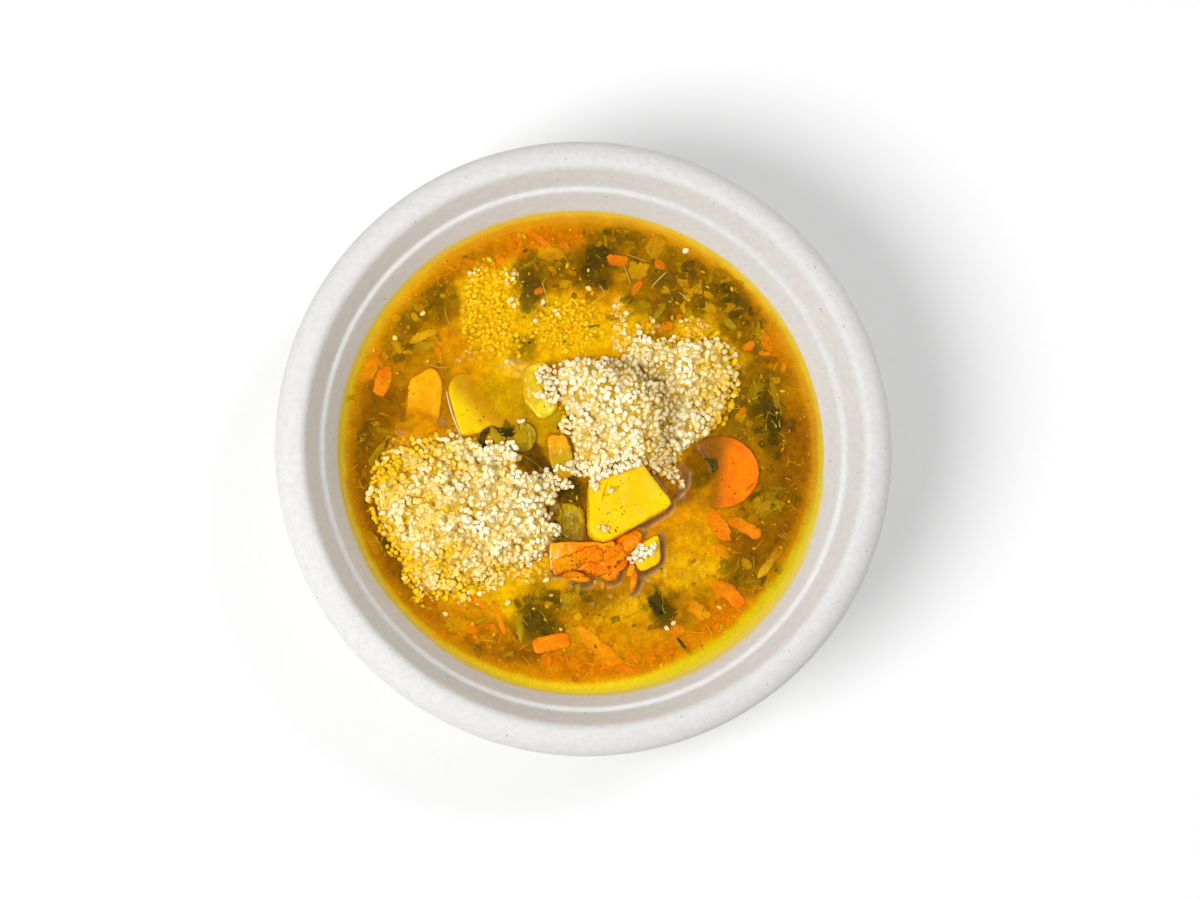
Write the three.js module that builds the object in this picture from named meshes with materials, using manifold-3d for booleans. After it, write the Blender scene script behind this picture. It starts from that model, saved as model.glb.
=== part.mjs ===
// Bowl of couscous soup: a moulded fibre bowl of broth with two heaps of couscous and cooked vegetables.
// Millimetres, +Z up. The origin is on the table, under the middle of the bowl.
import * as THREE from 'three';
import { mergeVertices } from 'three/addons/utils/BufferGeometryUtils.js';
import Module from 'manifold-3d';

const wasm = await Module();
wasm.setup();

// Driving dimensions of the bowl
const BOWL_RADIUS = 99;
const BOWL_HEIGHT = 58;
const WALL = 1.4;
const FLOOR_TOP = 2.4;
const FLOOR_RADIUS = 48;
const FOOT_RADIUS = 50;
const FOOT_WIDTH = 6;
const FOOT_RECESS = 1;
const WALL_LEAN = 0.572;          // outward run of the wall for each millimetre of rise
const LEDGE_RADIUS = 83.2;        // inner edge of the stacking ledge
const LEDGE_HEIGHT = 48.4;
const LEDGE_WIDTH = 1.6;
const LEDGE_RISE = 0.5;
const CREST_RADIUS = 91.8;        // the rim's highest line
const CREST_ROUND = 2;            // depth of the round from the crest to the inner wall
const ROLL_DROP = 6;              // how far the rolled rim falls before it turns straight down
const LIP_DROP = 1.8;
const AROUND = 48;                // facets round the bowl and the broth
const WALL_STEPS = 6;             // facets up the wall

// Driving dimensions of the food
const BROTH_LEVEL = 40;
const GAP = 0.3;                  // clearance between touching pieces
const LIFT = 9;                   // how far a cut for a piece reaches above it
const GRAIN = 1.9;                // a swollen grain of couscous, across
const GRAIN_SPACING = 6.6;
const CLUMP = 7.5;                // from one clump of grains to the next

const BROTH = new THREE.MeshStandardMaterial({ color: 0xc88a08, roughness: 0.12 });
const FIBRE = new THREE.MeshStandardMaterial({ color: 0xe4e1da, roughness: 0.85 });
const COUSCOUS = new THREE.MeshStandardMaterial({ color: 0xefdfae, roughness: 0.6 });
const POTATO = new THREE.MeshStandardMaterial({ color: 0xf7cf0c, roughness: 0.4 });
const SQUASH = new THREE.MeshStandardMaterial({ color: 0xf0a010, roughness: 0.35 });
const CARROT = new THREE.MeshStandardMaterial({ color: 0xf57a10, roughness: 0.35 });
const CELERY = new THREE.MeshStandardMaterial({ color: 0xb8ab30, roughness: 0.3 });
const LEAF = new THREE.MeshStandardMaterial({ color: 0x3c3a0a, roughness: 0.4 });

// Seeded numbers from 0 to 1
function seeded(seed) {
  let state = seed;
  return () => {
    state = (state + 0x6d2b79f5) | 0;
    let mixed = Math.imul(state ^ (state >>> 15), 1 | state);
    mixed = (mixed + Math.imul(mixed ^ (mixed >>> 7), 61 | mixed)) ^ mixed;
    return ((mixed ^ (mixed >>> 14)) >>> 0) / 4294967296;
  };
}

// Closed solids for joining and cutting
function weld(geometry) {
  const bare = new THREE.BufferGeometry();
  bare.setAttribute('position', geometry.getAttribute('position').clone());
  if (geometry.index) {
    bare.setIndex(geometry.index.clone());
  }
  const joined = mergeVertices(bare, 1e-4);
  const corners = joined.index.array;
  const kept = [];
  for (let i = 0; i < corners.length; i += 3) {
    const [a, b, c] = [corners[i], corners[i + 1], corners[i + 2]];
    if (a !== b && b !== c && c !== a) {
      kept.push(a, b, c);
    }
  }
  joined.setIndex(enclosed(joined, kept) < 0 ? kept.reverse() : kept);
  return joined;
}

// The volume inside a set of faces, negative where they point in
function enclosed(geometry, corners) {
  const place = geometry.getAttribute('position');
  const [a, b, c] = [new THREE.Vector3(), new THREE.Vector3(), new THREE.Vector3()];
  let volume = 0;
  for (let i = 0; i < corners.length; i += 3) {
    a.fromBufferAttribute(place, corners[i]);
    b.fromBufferAttribute(place, corners[i + 1]);
    c.fromBufferAttribute(place, corners[i + 2]);
    volume += a.dot(b.cross(c)) / 6;
  }
  return volume;
}

function solidOf(geometry) {
  const joined = weld(geometry);
  const vertProperties = Float32Array.from(joined.getAttribute('position').array);
  const triVerts = Uint32Array.from(joined.index.array);
  return new wasm.Manifold(new wasm.Mesh({ numProp: 3, vertProperties, triVerts }));
}

function geometryOf(solid) {
  const mesh = solid.getMesh();
  const geometry = new THREE.BufferGeometry();
  geometry.setAttribute('position', new THREE.BufferAttribute(mesh.vertProperties, mesh.numProp));
  geometry.setIndex(new THREE.BufferAttribute(mesh.triVerts, 1));
  geometry.computeVertexNormals();
  return geometry;
}

// Only the largest body of a solid, without loose scraps or sealed hollows
function mainBody(solid) {
  let largest = solid;
  let most = 0;
  for (const body of solid.decompose()) {
    if (body.volume() > most) {
      most = body.volume();
      largest = body;
    }
  }
  return largest;
}

// A profile of radius and height turned round the vertical axis
function turned(points) {
  return weld(new THREE.LatheGeometry(points, AROUND).rotateX(Math.PI / 2));
}

// The wall's inner face, moved in by a clearance, from the floor's middle up to a height
function innerFace(clearance, top) {
  const reach = LEDGE_RADIUS - clearance;
  const base = FLOOR_TOP + clearance;
  const turn = reach - (LEDGE_HEIGHT - base) * WALL_LEAN;
  const curve = new THREE.QuadraticBezierCurve(
    new THREE.Vector2(FLOOR_RADIUS, base),
    new THREE.Vector2(turn, base),
    new THREE.Vector2(reach, LEDGE_HEIGHT),
  );
  const share = Math.sqrt((top - base) / (LEDGE_HEIGHT - base));
  const points = [new THREE.Vector2(0, base)];
  for (let i = 0; i < share * WALL_STEPS; i += 1) {
    points.push(curve.getPoint(i / WALL_STEPS));
  }
  return [...points, curve.getPoint(share)];
}

// Bowl, in two bodies that meet where the ledge starts: foot ring, floor and leaning wall, then the rim
function bowlBodies() {
  const slant = WALL / Math.cos(Math.atan(WALL_LEAN));      // the wall measured level
  const outerTop = LEDGE_HEIGHT - WALL / 2;
  const outerReach = LEDGE_RADIUS + slant - (WALL / 2) * WALL_LEAN;
  const seam = [new THREE.Vector2(outerReach, outerTop), new THREE.Vector2(LEDGE_RADIUS, LEDGE_HEIGHT)];

  const outside = new THREE.Path();
  outside.moveTo(0, FOOT_RECESS);
  outside.lineTo(FOOT_RADIUS - FOOT_WIDTH - FOOT_RECESS, FOOT_RECESS);
  outside.lineTo(FOOT_RADIUS - FOOT_WIDTH, 0);
  outside.lineTo(FOOT_RADIUS, 0);
  outside.quadraticCurveTo(outerReach - outerTop * WALL_LEAN, 0, outerReach, outerTop);
  const wall = turned([...outside.getPoints(WALL_STEPS), ...innerFace(0, LEDGE_HEIGHT).reverse()]);

  return { wall, rim: turned([...rimProfile(slant, seam), seam[0]]) };
}

// Rim: stacking ledge, crest and a roll that is open below
function rimProfile(slant, [outer, inner]) {
  const ledgeOut = LEDGE_RADIUS + LEDGE_WIDTH;
  const ledgeTop = LEDGE_HEIGHT + LEDGE_RISE;
  const crestFoot = BOWL_HEIGHT - CREST_ROUND;
  const crestIn = ledgeOut + (crestFoot - ledgeTop) * WALL_LEAN;
  const rollHeight = BOWL_HEIGHT - ROLL_DROP;
  const rollWidth = BOWL_RADIUS - CREST_RADIUS;
  const under = new THREE.EllipseCurve(
    CREST_RADIUS, rollHeight, rollWidth - WALL, ROLL_DROP - WALL, Math.PI / 2, 0, true);
  const over = new THREE.EllipseCurve(CREST_RADIUS, rollHeight, rollWidth, ROLL_DROP, 0, Math.PI / 2);
  const inside = new THREE.QuadraticBezierCurve(
    new THREE.Vector2(CREST_RADIUS, BOWL_HEIGHT),
    new THREE.Vector2(crestIn + CREST_ROUND * WALL_LEAN, BOWL_HEIGHT),
    new THREE.Vector2(crestIn, crestFoot),
  );
  return [
    outer,
    new THREE.Vector2(outer.x + LEDGE_WIDTH, outer.y + LEDGE_RISE),
    new THREE.Vector2(crestIn + slant, crestFoot - WALL / 2),
    ...under.getPoints(3),
    new THREE.Vector2(BOWL_RADIUS - WALL, rollHeight - LIP_DROP),
    new THREE.Vector2(BOWL_RADIUS, rollHeight - LIP_DROP),
    ...over.getPoints(5),
    ...inside.getPoints(2).slice(1),
    new THREE.Vector2(ledgeOut, ledgeTop),
    inner,
  ];
}

// Broth: everything inside the wall up to its level
function brothBody() {
  return turned([...innerFace(GAP, BROTH_LEVEL), new THREE.Vector2(0, BROTH_LEVEL)]);
}

// An outline with straight sides and rounded corners
function roundedOutline(corners, round) {
  return corners.flatMap(([x, y], i) => {
    const corner = new THREE.Vector2(x, y);
    const toLast = new THREE.Vector2(...corners.at(i - 1)).sub(corner);
    const toNext = new THREE.Vector2(...corners[(i + 1) % corners.length]).sub(corner);
    const start = toLast.setLength(Math.min(round, toLast.length() * 0.42)).add(corner);
    const end = toNext.setLength(Math.min(round, toNext.length() * 0.42)).add(corner);
    return new THREE.QuadraticBezierCurve(start, corner, end).getPoints(2);
  });
}

// A cut piece with eased edges, its top face at zero, or the straight-sided room that it needs
function cutPiece(outline, { thick, ease }, room) {
  const levels = room ? [
    { pole: true, height: -thick - GAP },
    { inset: -GAP, height: -thick - GAP },
    { inset: -GAP, height: LIFT },
    { pole: true, height: LIFT },
  ] : [
    { pole: true, height: -thick },
    { inset: ease, height: -thick },
    { inset: 0, height: ease - thick },
    { inset: 0, height: -ease },
    { inset: ease * 0.3, height: -ease * 0.3 },
    { inset: ease, height: 0 },
    { pole: true, height: 0 },
  ];
  const profile = levels.map(({ pole, height }) => new THREE.Vector2(pole ? 0 : 1, height));
  const body = new THREE.LatheGeometry(profile, outline.length).rotateX(Math.PI / 2);
  const place = body.getAttribute('position');
  for (let i = 0; i < place.count; i += 1) {
    const level = levels[i % levels.length];
    const edge = outline[Math.floor(i / levels.length) % outline.length];
    const share = level.pole ? 0 : 1 - level.inset / edge.length();
    place.setXYZ(i, edge.x * share, edge.y * share, level.height);
  }
  return body;
}

function chunk(size) {
  return (room) => cutPiece(roundedOutline(size.corners, size.round), size, room);
}

// A round slice across a root
function slice(size) {
  const facets = 20;
  const outline = Array.from({ length: facets }, (_, i) => {
    const angle = (i / facets) * 2 * Math.PI;
    return new THREE.Vector2(size.radius * (1 + size.wobble * Math.cos(3 * angle)), 0)
      .rotateAround(new THREE.Vector2(), angle);
  });
  return (room) => cutPiece(outline, size, room);
}

// A torn flat piece: a straight back, and a front that steps in and out
function torn(size) {
  const corners = [[size.length / 2, size.back], [-size.length / 2, size.back * 0.9]];
  for (let i = 0; i <= size.steps; i += 1) {
    const along = i / size.steps;
    const tooth = i % 2 === 0 ? size.tooth : -size.tooth;
    corners.push([size.length * (along - 0.5), -size.back + size.slant * along + tooth]);
  }
  return (room) => cutPiece(roundedOutline(corners, size.round), size, room);
}

// A slice of a ribbed stalk: a crescent, its hollow side towards minus X
function stalk(size) {
  return (room) => {
    const [grow, lift] = room ? [GAP, LIFT] : [0, 0];
    const sweep = size.sweep / 2 + grow / size.radius;
    const shape = new THREE.Shape();
    shape.absarc(0, 0, size.radius + grow, -sweep, sweep, false);
    shape.absarc(0, 0, size.radius - size.width - grow, sweep, -sweep, true);
    const depth = size.thick + 2 * grow + lift;
    const body = new THREE.ExtrudeGeometry(shape, { depth, bevelEnabled: false, curveSegments: 9 });
    return body.translate(0, 0, -size.thick - grow);
  };
}

// A lump with eased sides, as a cooked end piece has
function lump(size) {
  return (room) => {
    const [grow, lift] = room ? [GAP, LIFT] : [0, 0];
    const body = new THREE.IcosahedronGeometry(1, 1);
    const place = body.getAttribute('position');
    for (let i = 0; i < place.count; i += 1) {
      const bulge = 1 + 0.06 * Math.sin(3 * place.getX(i)) + 0.05 * Math.cos(4 * place.getY(i));
      const x = place.getX(i) * bulge * (size.length / 2 + grow);
      const y = place.getY(i) * bulge * (size.width / 2 + grow);
      const z = place.getZ(i) * (size.thick / 2 + grow) + (place.getZ(i) > 0 ? lift : 0);
      place.setXYZ(i, x, y, z);
    }
    return body.translate(0, 0, -size.thick / 2);
  };
}

// A wavy leaf of even thickness: one grid of points for each face, and a wall round the edge
function leaf(size) {
  return (room) => {
    const [grow, lift] = room ? [GAP, LIFT] : [0, 0];
    const [across, along] = [6, 8];
    const points = [];
    const corners = [];
    const index = (face, i, j) => (face * (along + 1) + i) * (across + 1) + j;
    for (const height of [size.thick / 2 + grow + lift, -size.thick / 2 - grow]) {
      for (let i = 0; i <= along; i += 1) {
        const u = i / along;
        const half = size.width * 0.5 * (0.25 + 0.75 * Math.sin(Math.PI * (0.12 + 0.76 * u))) + grow;
        const lobes = 1 + 0.16 * Math.cos(6 * Math.PI * u);
        for (let j = 0; j <= across; j += 1) {
          const v = (2 * j) / across - 1;
          const x = (size.length + 2 * grow) * (u - 0.5);
          const wave = size.wave * Math.sin(2 * Math.PI * u + 0.6) * Math.cos(1.4 * v);
          points.push(x, half * lobes * v, wave + height);
        }
      }
    }
    for (let i = 0; i < along; i += 1) {
      for (let j = 0; j < across; j += 1) {
        const [a, b, c, d] = [[i, j], [i + 1, j], [i + 1, j + 1], [i, j + 1]];
        corners.push(index(0, ...a), index(0, ...b), index(0, ...c));
        corners.push(index(0, ...a), index(0, ...c), index(0, ...d));
        corners.push(index(1, ...a), index(1, ...c), index(1, ...b));
        corners.push(index(1, ...a), index(1, ...d), index(1, ...c));
      }
    }
    const wall = (a, b) => {
      corners.push(index(0, ...a), index(1, ...a), index(1, ...b));
      corners.push(index(0, ...a), index(1, ...b), index(0, ...b));
    };
    for (let i = 0; i < along; i += 1) {
      wall([i, 0], [i + 1, 0]);
      wall([i + 1, across], [i, across]);
    }
    for (let j = 0; j < across; j += 1) {
      wall([along, j], [along, j + 1]);
      wall([0, j + 1], [0, j]);
    }
    const body = new THREE.BufferGeometry();
    body.setAttribute('position', new THREE.Float32BufferAttribute(points, 3));
    body.setIndex(corners);
    return body;
  };
}

// Heap of couscous: an outline with lobes, a crown of soft peaks and small clumps
function heapEdge(heap, angle) {
  return heap.lobes.reduce(
    (sum, [count, size, turn]) => sum + size * Math.cos(count * (angle - THREE.MathUtils.degToRad(turn))),
    heap.radius,
  );
}

function heapRise(heap, x, y) {
  const wave = (2 * Math.PI) / CLUMP;
  const clumps = Math.sin(wave * x + Math.sin(0.6 * wave * y)) * Math.cos(wave * y + Math.sin(0.8 * wave * x));
  return heap.peaks.reduce(
    (sum, peak) => sum + peak.rise * Math.exp(-((x - peak.x) ** 2 + (y - peak.y) ** 2) / peak.spread ** 2),
    heap.crown + heap.clump * clumps,
  );
}

function heapCore(heap, grow) {
  const profile = [[0, -1], [0.75, -0.66], [1, 0]];
  const rings = 6;
  for (let i = 1; i <= rings; i += 1) {
    const tilt = (i / rings) * (Math.PI / 2);
    profile.push([Math.cos(tilt), Math.sin(tilt)]);
  }
  profile.at(-1)[0] = 0;
  const facets = 28;
  const points = profile.map(([radius, height]) => new THREE.Vector2(radius, height));
  const body = new THREE.LatheGeometry(points, facets).rotateX(Math.PI / 2);
  const place = body.getAttribute('position');
  for (let i = 0; i < place.count; i += 1) {
    const [u, v, w] = [place.getX(i), place.getY(i), place.getZ(i)];
    const reach = heapEdge(heap, Math.atan2(v, u)) + grow;
    const [x, y] = [u * reach, v * reach];
    const height = w > 0 ? heapRise(heap, x, y) : heap.depth;
    place.setXYZ(i, x, y, w * (height + grow));
  }
  return solidOf(body).translate(heap.x, heap.y, BROTH_LEVEL);
}

// One grain: a squashed ball of few sides, turned at random
function grain(draw, x, y, z, size) {
  const turn = new THREE.Euler(6 * draw(), 6 * draw(), 6 * draw());
  const squash = new THREE.Vector3(1, 0.8 + 0.3 * draw(), 0.75 + 0.25 * draw());
  const body = new THREE.IcosahedronGeometry(size / 2, 0);
  body.applyMatrix4(new THREE.Matrix4().makeScale(...squash));
  body.applyMatrix4(new THREE.Matrix4().makeRotationFromEuler(turn));
  return solidOf(body.translate(x, y, z));
}

// Grains on a heap: a jittered net of places, all of them above the broth
function heapGrains(heap) {
  const draw = seeded(heap.seed);
  const row = GRAIN_SPACING * Math.sin(Math.PI / 3);
  const reach = heap.radius * 1.4;
  const grains = [];
  for (let j = 0; j * row < 2 * reach; j += 1) {
    for (let i = 0; i * GRAIN_SPACING < 2 * reach; i += 1) {
      const x = -reach + (i + (j % 2) / 2 + 0.5 * (draw() - 0.5)) * GRAIN_SPACING;
      const y = -reach + j * row + 0.5 * (draw() - 0.5) * GRAIN_SPACING;
      const size = GRAIN * (0.85 + 0.4 * draw());
      const share = Math.hypot(x, y) / heapEdge(heap, Math.atan2(y, x));
      if (share < 0.97) {
        const rise = Math.sqrt(1 - share ** 2) * heapRise(heap, x, y);
        if (rise > size * 0.7) {
          grains.push(grain(draw, heap.x + x, heap.y + y, BROTH_LEVEL + rise + size * 0.12, size));
        }
      }
    }
  }
  return grains;
}

const HEAPS = {
  couscous_heap_left: {
    x: -37.6, y: -20.2, radius: 26.7, depth: 10, crown: 3, clump: 0.6, seed: 11,
    lobes: [[2, 3.1, 4], [3, 1.9, 9], [4, 1.3, -18]],
    peaks: [
      { x: 8, y: -2, rise: 2.6, spread: 11 },
      { x: -6, y: 9, rise: 1.2, spread: 8 },
      { x: 20, y: 6, rise: 1.6, spread: 7 },
    ],
  },
  couscous_heap_right: {
    x: 20.6, y: 15.7, radius: 24.2, depth: 10, crown: 3.2, clump: 0.7, seed: 29,
    lobes: [[2, 4.7, 18], [3, 1.7, 42], [5, 1.6, 17], [6, 2, -20]],
    peaks: [
      { x: -10, y: -4, rise: 4.6, spread: 11 },
      { x: 12, y: 8, rise: 2.8, spread: 8 },
      { x: 2, y: -20, rise: 1.8, spread: 7 },
    ],
  },
};

// Vegetable pieces: each stands with the middle of its top face at its place; lean and turn are in degrees
const PIECES = [
  {
    name: 'potato_large', material: POTATO, at: [11.4, -17.8, 45.6], lean: [-4, 3],
    body: chunk({
      corners: [[-9.9, 7.7], [-9.9, -9.7], [-5.1, -13.2], [18.2, 0.1], [6.6, 15.1]],
      round: 3, thick: 19, ease: 1.3,
    }),
  },
  {
    name: 'potato_small', material: POTATO, at: [20.5, -33.4, 43.4], lean: [6, -5], grains: 6,
    body: chunk({
      corners: [[-5.2, -0.2], [-2.3, -6.7], [4.5, -3.4], [3.9, 6.3], [-0.7, 3.7]],
      round: 2, thick: 11, ease: 0.8,
    }),
  },
  {
    name: 'carrot_torn', material: CARROT, at: [-0.4, -34.9, 43.2], lean: [8, -4],
    body: torn({ length: 21, back: 4.9, steps: 6, tooth: 0.45, slant: 2.2, round: 1, thick: 5, ease: 0.4 }),
  },
  {
    name: 'carrot_knob', material: CARROT, at: [14.4, -31.2, 43.8], turn: 40, lean: [6, 6],
    body: lump({ length: 14, width: 8, thick: 9 }),
  },
  {
    name: 'carrot_ball', material: CARROT, at: [8.7, -39.6, 42.6], turn: 20, lean: [0, 0],
    body: lump({ length: 7.4, width: 6.4, thick: 6 }),
  },
  {
    name: 'carrot_lip', material: CARROT, at: [-0.9, -42, 41.2], turn: -4, lean: [10, 0],
    body: lump({ length: 7.2, width: 2.8, thick: 4 }),
  },
  {
    name: 'carrot_spur', material: CARROT, at: [16.5, -42.4, 41.5], turn: 80, lean: [4, 0],
    body: lump({ length: 7.4, width: 2.8, thick: 3.6 }),
  },
  {
    name: 'celery_mid', material: CELERY, at: [-2.8, -24.7, 41.9], lean: [0, 7],
    body: chunk({
      corners: [[-4.3, 1.1], [-2.7, -6.3], [3.1, -6.3], [3.8, -1.4], [2.8, 5.7], [-2.7, 7.3]],
      round: 1.6, thick: 7, ease: 0.7,
    }),
  },
  {
    name: 'potato_mid', material: SQUASH, at: [-7.2, -1.2, 41.8], lean: [5, -4],
    body: chunk({
      corners: [[-4.5, 6.1], [-3.6, -5.6], [2.3, -6.2], [4.2, -0.6], [1.6, 6.2]],
      round: 2, thick: 9, ease: 0.8,
    }),
  },
  {
    name: 'celery_ring', material: CELERY, at: [-20.1, 3.9, 41.4], turn: -20, lean: [6, 4],
    body: stalk({ radius: 5, width: 2.6, sweep: 4.1, thick: 6 }),
  },
  {
    name: 'celery_curl', material: LEAF, at: [-29.6, 3.1, 41.2], turn: 150, lean: [4, 6],
    body: stalk({ radius: 4, width: 1.5, sweep: 3.4, thick: 4.6 }),
  },
  {
    name: 'celery_chunk', material: CELERY, at: [-13.5, 19.2, 41.6], lean: [-4, 4], grains: 7,
    body: chunk({
      corners: [[-5.7, 7.8], [-6.3, -3.3], [-0.5, -10.1], [5.4, -6.4], [6, 1.8], [1.1, 10.2]],
      round: 2.2, thick: 9, ease: 0.9,
    }),
  },
  {
    name: 'potato_slab', material: POTATO, at: [-32.9, 14.6, 40.3], lean: [0, 3],
    body: chunk({
      corners: [[-11.2, 5.1], [-6.6, -11.2], [15.2, -5.7], [9.8, 9.6], [-8.7, 10.3]],
      round: 2.2, thick: 10, ease: 0.8,
    }),
  },
  {
    name: 'squash_chunk', material: SQUASH, at: [-50.9, 14.8, 40.6], lean: [3, -2],
    body: chunk({
      corners: [[-6, 7.2], [-7.2, -8.4], [-0.7, -11.2], [4.2, -7.3], [5.9, 7.4], [2.6, 12.3]],
      round: 2.4, thick: 10, ease: 0.9,
    }),
  },
  {
    name: 'carrot_slice', material: CARROT, at: [45.3, -6.7, 40.7], lean: [1, -3],
    body: slice({ radius: 12.1, wobble: 0.02, thick: 7, ease: 0.7 }),
  },
];

const HERB = {
  name: 'herb_leaf', material: LEAF, at: [38.4, -5.6, 41.2], turn: 12, lean: [1, -3],
  body: leaf({ length: 10, width: 6.4, wave: 0.35, thick: 0.5 }),
};

function placeOf({ at, turn = 0, lean }) {
  const rotation = new THREE.Euler(...[...lean, turn].map(THREE.MathUtils.degToRad), 'ZYX');
  const matrix = new THREE.Matrix4().makeRotationFromEuler(rotation);
  return { rotation, matrix: matrix.setPosition(...at) };
}

// A piece at its place, or the room that the food round it leaves for it
function standing(piece, room = false) {
  return solidOf(piece.body(room).applyMatrix4(placeOf(piece).matrix));
}

function without(solid, cutters) {
  return cutters.reduce((rest, cutter) => rest.subtract(cutter), solid);
}

// Grains that stuck to the top of a piece, gathered round its middle
function toppingGrains(piece) {
  const draw = seeded(piece.grains);
  return Array.from({ length: piece.grains }, (_, i) => {
    const size = GRAIN * (0.9 + 0.3 * draw());
    const angle = i * Math.PI * (3 - Math.sqrt(5));
    const reach = 1.15 * Math.sqrt(i);
    const spot = new THREE.Vector3(reach * Math.cos(angle), reach * Math.sin(angle), size * 0.1);
    spot.applyMatrix4(placeOf(piece).matrix);
    return grain(draw, spot.x, spot.y, spot.z, size);
  });
}

function meshOf(name, material, solid, piece) {
  const mesh = new THREE.Mesh(geometryOf(mainBody(solid)), material);
  mesh.name = name;
  if (piece) {
    const { rotation, matrix } = placeOf(piece);
    mesh.geometry.applyMatrix4(matrix.invert());
    mesh.position.set(...piece.at);
    mesh.rotation.copy(rotation);
  }
  return mesh;
}

// Food: a piece is cut back to those before it, the heaps to every piece, and the broth to them all
const food = new THREE.Group();
const rooms = [];
for (const piece of PIECES) {
  let solid = without(standing(piece), rooms);
  if (piece.grains) {
    solid = wasm.Manifold.union([solid, ...toppingGrains(piece)]);
  }
  food.add(meshOf(piece.name, piece.material, solid, piece));
  rooms.push(standing(piece, true));
}

const heapRooms = [];
for (const [name, heap] of Object.entries(HEAPS)) {
  const whole = wasm.Manifold.union([heapCore(heap, 0), ...heapGrains(heap)]);
  food.add(meshOf(name, COUSCOUS, without(whole, [...rooms, ...heapRooms])));
  heapRooms.push(heapCore(heap, GAP));
}

food.add(meshOf(HERB.name, HERB.material, standing(HERB), HERB));
const broth = without(solidOf(brothBody()), [...rooms, ...heapRooms, standing(HERB, true)]);
food.add(meshOf('broth', BROTH, broth));

const bodies = bowlBodies();
const bowl = new THREE.Group();
for (const [name, geometry] of [['bowl', bodies.wall], ['bowl_rim', bodies.rim]]) {
  geometry.computeVertexNormals();
  const body = new THREE.Mesh(geometry, FIBRE);
  body.name = name;
  bowl.add(body);
}

const couscousSoup = new THREE.Group();
couscousSoup.add(bowl, food);

export default couscousSoup;
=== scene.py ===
"""Bowl of couscous soup: a moulded fibre bowl, golden broth, two heaps of couscous and cooked vegetables.

The classes hold their sizes in millimetres, and Surface.made turns them to metres.
+X is the photograph's right and +Y its top; the broth's level is 40 mm above the table.
"""

import logging
import math
from collections.abc import Callable, Sequence
from dataclasses import dataclass, field
from enum import Enum

import bmesh
import bpy
import numpy as np
from mathutils import Matrix, Vector
from mathutils.bvhtree import BVHTree
from mathutils.kdtree import KDTree


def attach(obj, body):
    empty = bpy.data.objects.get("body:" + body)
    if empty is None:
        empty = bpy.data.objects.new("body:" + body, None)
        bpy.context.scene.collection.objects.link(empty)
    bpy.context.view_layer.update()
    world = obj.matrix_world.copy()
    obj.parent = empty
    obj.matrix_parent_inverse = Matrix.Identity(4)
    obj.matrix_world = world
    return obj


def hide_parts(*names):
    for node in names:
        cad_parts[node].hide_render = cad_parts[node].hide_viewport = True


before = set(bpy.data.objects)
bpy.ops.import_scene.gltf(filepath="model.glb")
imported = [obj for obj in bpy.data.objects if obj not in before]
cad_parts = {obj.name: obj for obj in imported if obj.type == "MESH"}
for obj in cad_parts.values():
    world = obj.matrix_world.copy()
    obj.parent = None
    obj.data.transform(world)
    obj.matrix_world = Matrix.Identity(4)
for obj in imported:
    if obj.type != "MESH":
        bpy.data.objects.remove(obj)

Array = np.ndarray
Colour = tuple[float, float, float, float]
Random = np.random.Generator
Spot = tuple[float, float]
Tree = bpy.types.NodeTree
Socket = bpy.types.NodeSocket

log = logging.getLogger("couscous_soup")

MM = 0.001
FULL_TURN = 2 * math.pi
LEVEL = 40.0  # the broth's surface above the table


def linear(colour: str) -> Colour:
    """Turns an sRGB colour to linear.

    Args:
        colour: six hex digits.

    Returns:
        Red, green, blue and an alpha of 1.
    """
    parts = [int(colour[i : i + 2], 16) / 255 for i in (0, 2, 4)]
    red, green, blue = (p / 12.92 if p <= 0.04045 else ((p + 0.055) / 1.055) ** 2.4 for p in parts)
    return red, green, blue, 1.0


def per_mm(size: float) -> float:
    """The scale of a texture whose features are this many millimetres across."""
    return 1 / (size * MM)


def ease(value: Array, start: float | Array, end: float | Array) -> Array:
    """Goes smoothly from 0 at start to 1 at end, where start may be the larger."""
    share = np.clip((value - start) / (end - start), 0, 1)
    return share * share * (3 - 2 * share)


def blend(first: Array, second: Array, share: Array) -> Array:
    """Mixes colours by a share of the second for each point."""
    return first * (1 - share[..., None]) + second * share[..., None]


def add(
    tree: Tree, kind: str, inputs: dict[str | int, object], output: str | int = 0, **settings: object
) -> Socket:
    """Adds a node to a material.

    Args:
        tree: the material's nodes.
        kind: the node's type, after the ShaderNode that starts it.
        inputs: a value for each input, or the socket that is linked to it.
        output: the output that is wanted.
        settings: the node's own settings.

    Returns:
        The wanted output's socket, or None where the node has none.
    """
    node = tree.nodes.new("ShaderNode" + kind)
    for key, value in settings.items():
        setattr(node, key, value)
    for key, value in inputs.items():
        if isinstance(value, bpy.types.NodeSocket):
            tree.links.new(value, node.inputs[key])
        else:
            node.inputs[key].default_value = value
    return node.outputs[output] if len(node.outputs) else None


# Shapes


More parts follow.
